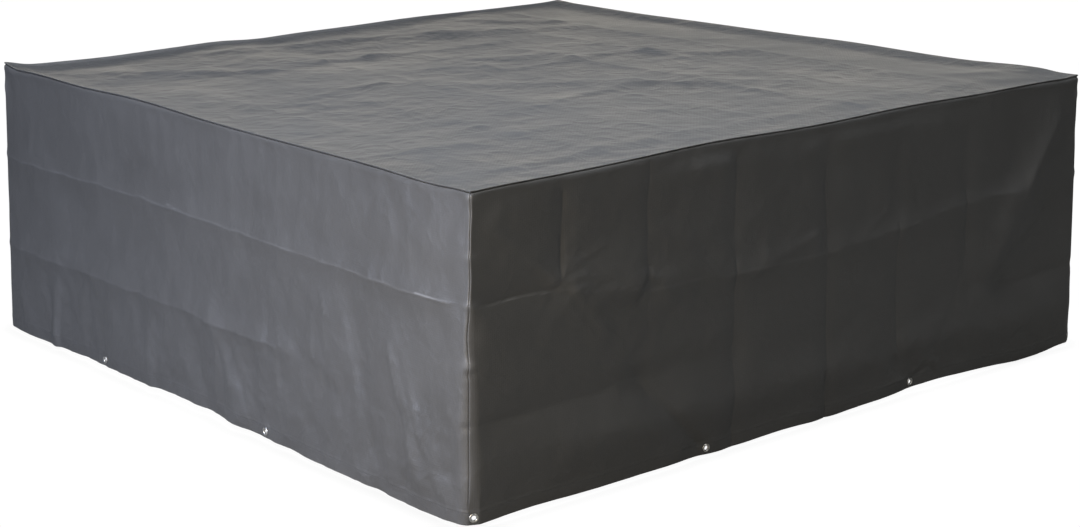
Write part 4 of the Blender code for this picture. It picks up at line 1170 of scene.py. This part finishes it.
def make_eyelet(number, material):
    """One pressed eyelet: a rolled flange outside, the barrel through the cloth, and the washer
    that it is set over behind. Its profile of (radius, depth) is turned round its axis.
    """
    wall, place = EYELETS[number - 1]
    centre, outward = eyelet_frame(wall, place)
    profile = np.array([
        (9.90, 0.30), (10.0, 0.62), (9.72, 1.02), (9.15, 1.36), (8.35, 1.56), (7.45, 1.60),
        (6.60, 1.46), (5.90, 1.16), (5.40, 0.72), (5.12, 0.10), (5.00, -0.70), (5.00, -1.90),
        (5.06, -2.62), (5.40, -2.90), (6.10, -3.00), (7.30, -2.96), (8.20, -2.86), (8.50, -2.62),
        (8.42, -2.34), (7.20, -2.32), (5.80, -2.32), (5.70, -1.90), (5.70, -0.20), (5.90, 0.28),
        (7.60, 0.30),
    ]) * MM
    sides = 44
    angles = np.arange(sides) * 2 * np.pi / sides
    beside = np.array([outward[1], -outward[0], 0.0])
    spokes = np.cos(angles)[:, None] * beside + np.sin(angles)[:, None] * np.array([0.0, 0.0, 1.0])
    # the press leaves the flange a little out of round
    swell = 1.0 + 0.008 * np.sin(2 * angles + number) + 0.004 * np.sin(3 * angles + 2 * number)
    points = centre + (profile[None, :, 0] * swell[:, None])[..., None] * spokes[:, None, :]
    points = points + profile[None, :, 1, None] * outward
    count = len(profile)
    index = np.arange(sides * count).reshape(sides, count)
    on, up = np.roll(index, -1, axis=0), np.roll(index, -1, axis=1)
    faces = np.stack([index, on, np.roll(on, -1, axis=1), up], axis=-1).reshape(-1, 4)
    first = points[0, 0], points[1, 0], points[0, 1]
    facing = np.cross(first[1] - first[0], first[2] - first[0]) @ (points[0, 0] - centre)
    if facing < 0:
        faces = faces[:, ::-1]
    return mesh_object(f"eyelet_ring_{number:02d}", points.reshape(-1, 3), faces, material)


# ---------------------------------------------------------------- materials


def linear(colour):
    """An sRGB hex colour as linear light."""
    value = np.array([int(colour[k : k + 2], 16) for k in (1, 3, 5)]) / 255.0
    value = np.where(value <= 0.04045, value / 12.92, ((value + 0.055) / 1.055) ** 2.4)
    return (*value.tolist(), 1.0)


def set_sockets(node, values=None, links=None):
    """Give a node's sockets their values, or the sockets that feed them."""
    for socket, value in (values or {}).items():
        node.inputs[socket].default_value = value
    for socket, source in (links or {}).items():
        node.id_data.links.new(source, node.inputs[socket])


def add_node(tree, kind, values=None, links=None, **settings):
    """A shader node with its settings, its sockets' values, and the sockets that feed it."""
    node = tree.nodes.new("ShaderNode" + kind)
    for name, value in settings.items():
        setattr(node, name, value)
    set_sockets(node, values, links)
    return node


def new_material(name):
    """A Principled material: itself, a function that adds a node to it, and its shader."""
    material = bpy.data.materials.new(name)
    material.use_nodes = True
    tree = material.node_tree
    return material, partial(add_node, tree), tree.nodes["Principled BSDF"]


def laminated_woven_polyethylene(name, dark, light, scuffed):
    """Tarpaulin sheeting: flat tapes woven and coated with film on both faces by extrusion.

    To the eye: a dark grey, low satin film over a faint tape grid, crinkled all over where it has
    been folded, and paler along hard folds, where the film has whitened.
    """
    material, add, shader = new_material(name)
    chart = add("UVMap", uv_map="cloth").outputs["UV"]
    place = {"Vector": add("TexCoord").outputs["Object"]}
    # tapes 2.5 mm wide are too fine to show, so they are drawn 5 mm wide
    tapes = add("VectorMath", {1: (200.0, 200.0, 0.0)}, {0: chart}, operation="MULTIPLY").outputs["Vector"]
    split = add("SeparateXYZ", links={0: tapes})
    crowns = []
    for axis in ("X", "Y"):
        turn = add("Math", {1: np.pi}, {0: split.outputs[axis]}, operation="MULTIPLY")
        wave = add("Math", links={0: turn.outputs[0]}, operation="SINE")
        crowns.append(add("Math", links={0: wave.outputs[0]}, operation="ABSOLUTE").outputs[0])
    over = add("TexChecker", {"Scale": 1.0}, {"Vector": tapes}).outputs["Fac"]
    weave = add("Mix", links={"Factor": over, "A": crowns[0], "B": crowns[1]}, data_type="FLOAT")
    # crinkles from folding and handling: sharp ridges 60 mm apart, dents of 33 mm, grain of 20 mm
    values = {"Scale": 15.0, "Detail": 2.0, "Roughness": 0.55, "Offset": 1.0, "Gain": 1.2, "Distortion": 0.5}
    ridges = add("TexNoise", values, place, noise_type="RIDGED_MULTIFRACTAL").outputs["Fac"]
    values = {"Scale": 30.0, "Detail": 1.0, "Roughness": 0.5, "Randomness": 1.0}
    dents = add("TexVoronoi", values, place, feature="F1", distance="EUCLIDEAN").outputs["Distance"]
    values = {"Scale": 46.0, "Detail": 3.0, "Roughness": 0.55, "Distortion": 0.4}
    grain = add("TexNoise", values, place).outputs["Fac"]
    relief = add("Math", {1: RIDGE_BUMP}, {0: ridges}, operation="MULTIPLY").outputs[0]
    for height, size in ((dents, DENT_BUMP), (grain, GRAIN_BUMP)):
        relief = add("Math", {1: size}, {0: height, 2: relief}, operation="MULTIPLY_ADD").outputs[0]
    crinkle = add("Attribute", attribute_name="crinkle").outputs["Fac"]
    relief = add("Math", links={0: relief, 1: crinkle}, operation="MULTIPLY").outputs[0]
    # the film's grey and its gloss drift over 200 mm, and hard folds are pale
    clouds = add("TexNoise", {"Scale": 5.0, "Detail": 4.0, "Roughness": 0.6}, place).outputs["Fac"]
    greys = {"A": linear(dark), "B": linear(light)}
    base = add("Mix", greys, {"Factor": clouds}, data_type="RGBA").outputs["Result"]
    pale = add("Attribute", attribute_name="pale").outputs["Fac"]
    worn = add("Mix", {"B": linear(scuffed)}, {"Factor": pale, "A": base}, data_type="RGBA")
    values = {"From Min": 0.3, "From Max": 0.7, "To Min": 0.40, "To Max": 0.54}
    rough = add("MapRange", values, {"Value": clouds})
    crinkled = add("Bump", {"Distance": 1.0, "Strength": 1.0}, {"Height": relief}).outputs["Normal"]
    feeds = {"Height": weave.outputs["Result"], "Normal": crinkled}
    woven = add("Bump", {"Distance": 0.00025, "Strength": 0.5}, feeds)
    feeds = {"Base Color": worn.outputs["Result"], "Roughness": rough.outputs["Result"]}
    set_sockets(shader, {"IOR": 1.5}, {**feeds, "Normal": woven.outputs["Normal"]})
    return material


def pressed_aluminium(name):
    """Aluminium sheet pressed bright, then dulled by handling: a pale metal with fine rubs."""
    material, add, shader = new_material(name)
    place = {"Vector": add("TexCoord").outputs["Object"]}
    # rubs about 1 mm across
    rubs = add("TexNoise", {"Scale": 900.0, "Detail": 4.0, "Roughness": 0.7}, place).outputs["Fac"]
    values = {"From Min": 0.3, "From Max": 0.7, "To Min": 0.22, "To Max": 0.42}
    rough = add("MapRange", values, {"Value": rubs})
    tints = {"A": linear("#cfcdc8"), "B": linear("#e6e4e0")}
    tint = add("Mix", tints, {"Factor": rubs}, data_type="RGBA")
    bump = add("Bump", {"Distance": 0.00008, "Strength": 0.4}, {"Height": rubs})
    feeds = {"Base Color": tint.outputs["Result"], "Roughness": rough.outputs["Result"]}
    set_sockets(shader, {"Metallic": 1.0}, {**feeds, "Normal": bump.outputs["Normal"]})
    return material


def spun_polyester_thread(name):
    """Spun polyester sewing thread: matt, dark grey, with a twist too fine to see but as grain."""
    material, add, shader = new_material(name)
    place = {"Vector": add("TexCoord").outputs["Object"]}
    # plies 0.4 mm apart
    plies = add("TexNoise", {"Scale": 2500.0, "Detail": 2.0, "Roughness": 0.5}, place).outputs["Fac"]
    tints = {"A": linear("#34363a"), "B": linear("#4a4c50")}
    tint = add("Mix", tints, {"Factor": plies}, data_type="RGBA")
    bump = add("Bump", {"Distance": 0.0001, "Strength": 0.6}, {"Height": plies})
    feeds = {"Base Color": tint.outputs["Result"], "Normal": bump.outputs["Normal"]}
    set_sockets(shader, {"Roughness": 0.85}, feeds)
    return material


# ---------------------------------------------------------------- studio

FLOOR_HALF = 30.0  # half of the floor's side
FLOOR_GREY = "#7c7b78"  # what the cover sees of the floor
CONTACT_REACH = 0.05  # how far the painted contact shadow reaches
DOME_LEAN = (-0.55, 0.10, 0.83)  # the way to the dome's brightest part
DOME_LOW, DOME_HIGH = 0.03, 0.05
CAMERA_PLACE = (-3.576, -4.217, 1.628)
CAMERA_TURNS = (40.61, 14.52, -0.28)  # to the right of +Y, down, and rolled, in degrees
LENS_LENGTH = 71.30  # in mm, on a sensor 36 mm wide
SENSOR_WIDTH = 36.0

# Soft boxes: where each stands, the point it faces, its width and height, watts and tint.
SOFTBOXES = {
    "overhead_softbox": ((-0.2, -0.4, 3.4), (-0.1, -0.2, 0.7), 3.6, 3.4, 66.0, "#e9f3ff"),
    "overhead_right_softbox": ((1.2, -0.8, 3.0), (0.4, -0.4, 0.7), 2.0, 2.0, 34.0, "#fffffa"),
    "overhead_left_softbox": ((-1.5, -0.2, 3.0), (-0.5, -0.1, 0.7), 2.0, 2.0, 88.0, "#ebf1ff"),
    "left_softbox": ((-3.4, -0.2, 0.8), (-1.0, -0.1, 0.22), 1.8, 1.1, 69.0, "#d2e0ff"),
    "left_near_softbox": ((-2.8, -1.35, 0.8), (-1.0, -0.8, 0.22), 1.2, 0.9, 38.0, "#ffeed2"),
    "back_softbox": ((6.0, 7.1, 2.05), (0.0, 0.0, 0.7), 8.0, 1.4, 84.0, "#fff7e8"),
    "front_softbox": ((0.3, -4.2, 2.8), (-0.25, -1.0, 0.45), 2.2, 1.6, 37.0, "#fffdf8"),
    "rear_low_softbox": ((3.1, 3.1, 0.40), (1.0, 1.0, 0.33), 2.2, 0.5, 60.0, "#fffdf8"),
}


def make_floor():
    """A pale floor: to the eye it glows white, with a faint contact shadow painted into the glow, and it is
    matt grey to the light.
    """
    mesh = bpy.data.meshes.new("studio_floor")
    corners = [(FLOOR_HALF * x, FLOOR_HALF * y, 0.0) for x, y in ((-1, -1), (1, -1), (1, 1), (-1, 1))]
    mesh.from_pydata(corners, [], [(0, 1, 2, 3)])
    floor = bpy.data.objects.new("studio_floor", mesh)
    bpy.context.scene.collection.objects.link(floor)
    material = bpy.data.materials.new("glowing_floor_painted_contact_shadow")
    material.use_nodes = True
    add = partial(add_node, material.node_tree)
    material.node_tree.nodes.clear()
    # painted contact shadow: occlusion near the cover dims the floor's glow as the camera sees it
    shade = add("AmbientOcclusion", {"Distance": CONTACT_REACH}, samples=8).outputs["AO"]
    values = {"From Min": 0.0, "From Max": 1.0, "To Min": 0.80, "To Max": 1.02}
    soft = add("MapRange", values, {"Value": shade}).outputs["Result"]
    glow = add("Emission", links={"Strength": soft}).outputs["Emission"]
    matt = add("BsdfDiffuse", {"Color": linear(FLOOR_GREY)}).outputs["BSDF"]
    seen = add("LightPath").outputs["Is Camera Ray"]
    both = add("MixShader", links={0: seen, 1: matt, 2: glow}).outputs["Shader"]
    add("OutputMaterial", links={"Surface": both})
    mesh.materials.append(material)


def make_world():
    """White to the camera, and a dim dome to the object, brighter above and to the left."""
    world = bpy.data.worlds.new("studio")
    bpy.context.scene.world = world
    world.use_nodes = True
    add = partial(add_node, world.node_tree)
    world.node_tree.nodes.clear()
    way = add("TexCoord").outputs["Generated"]
    lean = add("VectorMath", {1: DOME_LEAN}, {0: way}, operation="DOT_PRODUCT").outputs["Value"]
    values = {"From Min": -0.6, "From Max": 1.0, "To Min": DOME_LOW, "To Max": DOME_HIGH}
    dome = add("MapRange", values, {"Value": lean}).outputs["Result"]
    seen = add("LightPath").outputs["Is Camera Ray"]
    level = add("Mix", {"B": 1.0}, {"Factor": seen, "A": dome}, data_type="FLOAT").outputs["Result"]
    glow = add("Background", links={"Strength": level})
    add("OutputWorld", links={"Surface": glow.outputs["Background"]})


def make_light(name, place, aim, width, height, watts, colour):
    """A soft box at a place, turned to the point it lights."""
    light = bpy.data.lights.new(name, "AREA")
    light.shape = "RECTANGLE"
    light.size, light.size_y = width, height
    light.energy = watts
    light.color = linear(colour)[:3]
    lamp = bpy.data.objects.new(name, light)
    lamp.location = place
    lamp.rotation_mode = "QUATERNION"
    lamp.rotation_quaternion = (Vector(aim) - Vector(place)).to_track_quat("-Z", "Y")
    bpy.context.scene.collection.objects.link(lamp)


def make_camera():
    """The photograph's view: from the near corner, a little above the top."""
    yaw, pitch, roll = np.radians(CAMERA_TURNS)
    ahead = np.array([np.sin(yaw) * np.cos(pitch), np.cos(yaw) * np.cos(pitch), -np.sin(pitch)])
    right = np.array([np.cos(yaw), -np.sin(yaw), 0.0])
    up = np.cross(right, ahead)
    turned_right = np.cos(roll) * right + np.sin(roll) * up
    turned_up = np.cos(roll) * up - np.sin(roll) * right
    lens = bpy.data.cameras.new("photo_view")
    lens.lens, lens.sensor_width, lens.sensor_fit = LENS_LENGTH, SENSOR_WIDTH, "HORIZONTAL"
    camera = bpy.data.objects.new("photo_view", lens)
    turn = Matrix(np.stack([turned_right, turned_up, -ahead], axis=-1).tolist())
    camera.matrix_world = Matrix.Translation(CAMERA_PLACE) @ turn.to_4x4()
    bpy.context.scene.collection.objects.link(camera)
    bpy.context.scene.camera = camera


make_camera()
make_floor()
make_world()
for name, setup in SOFTBOXES.items():
    make_light(name, *setup)
bpy.context.scene.view_settings.view_transform = "Standard"

# ---------------------------------------------------------------- the cover

sheeting = laminated_woven_polyethylene("laminated_woven_polyethylene", "#454545", "#4d4d4d", "#9a9ca0")
thread = spun_polyester_thread("spun_polyester_thread")
metal = pressed_aluminium("pressed_aluminium")

top = make_top(sheeting)
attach(top, "root")
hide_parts("top_panel")

rings = {}
for number in range(1, len(EYELETS) + 1):
    ring = make_eyelet(number, metal)
    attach(ring, "root")
    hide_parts(f"eyelet_{number:02d}")
    rings.setdefault(EYELETS[number - 1][0], []).append(ring)

for wall in WALLS:
    cloth = make_wall(wall, sheeting)
    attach(cloth, "root")
    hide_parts("wall_" + wall, "hem_" + wall)
    stitches = hem_stitches(wall, thread)
    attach(stitches, "root")
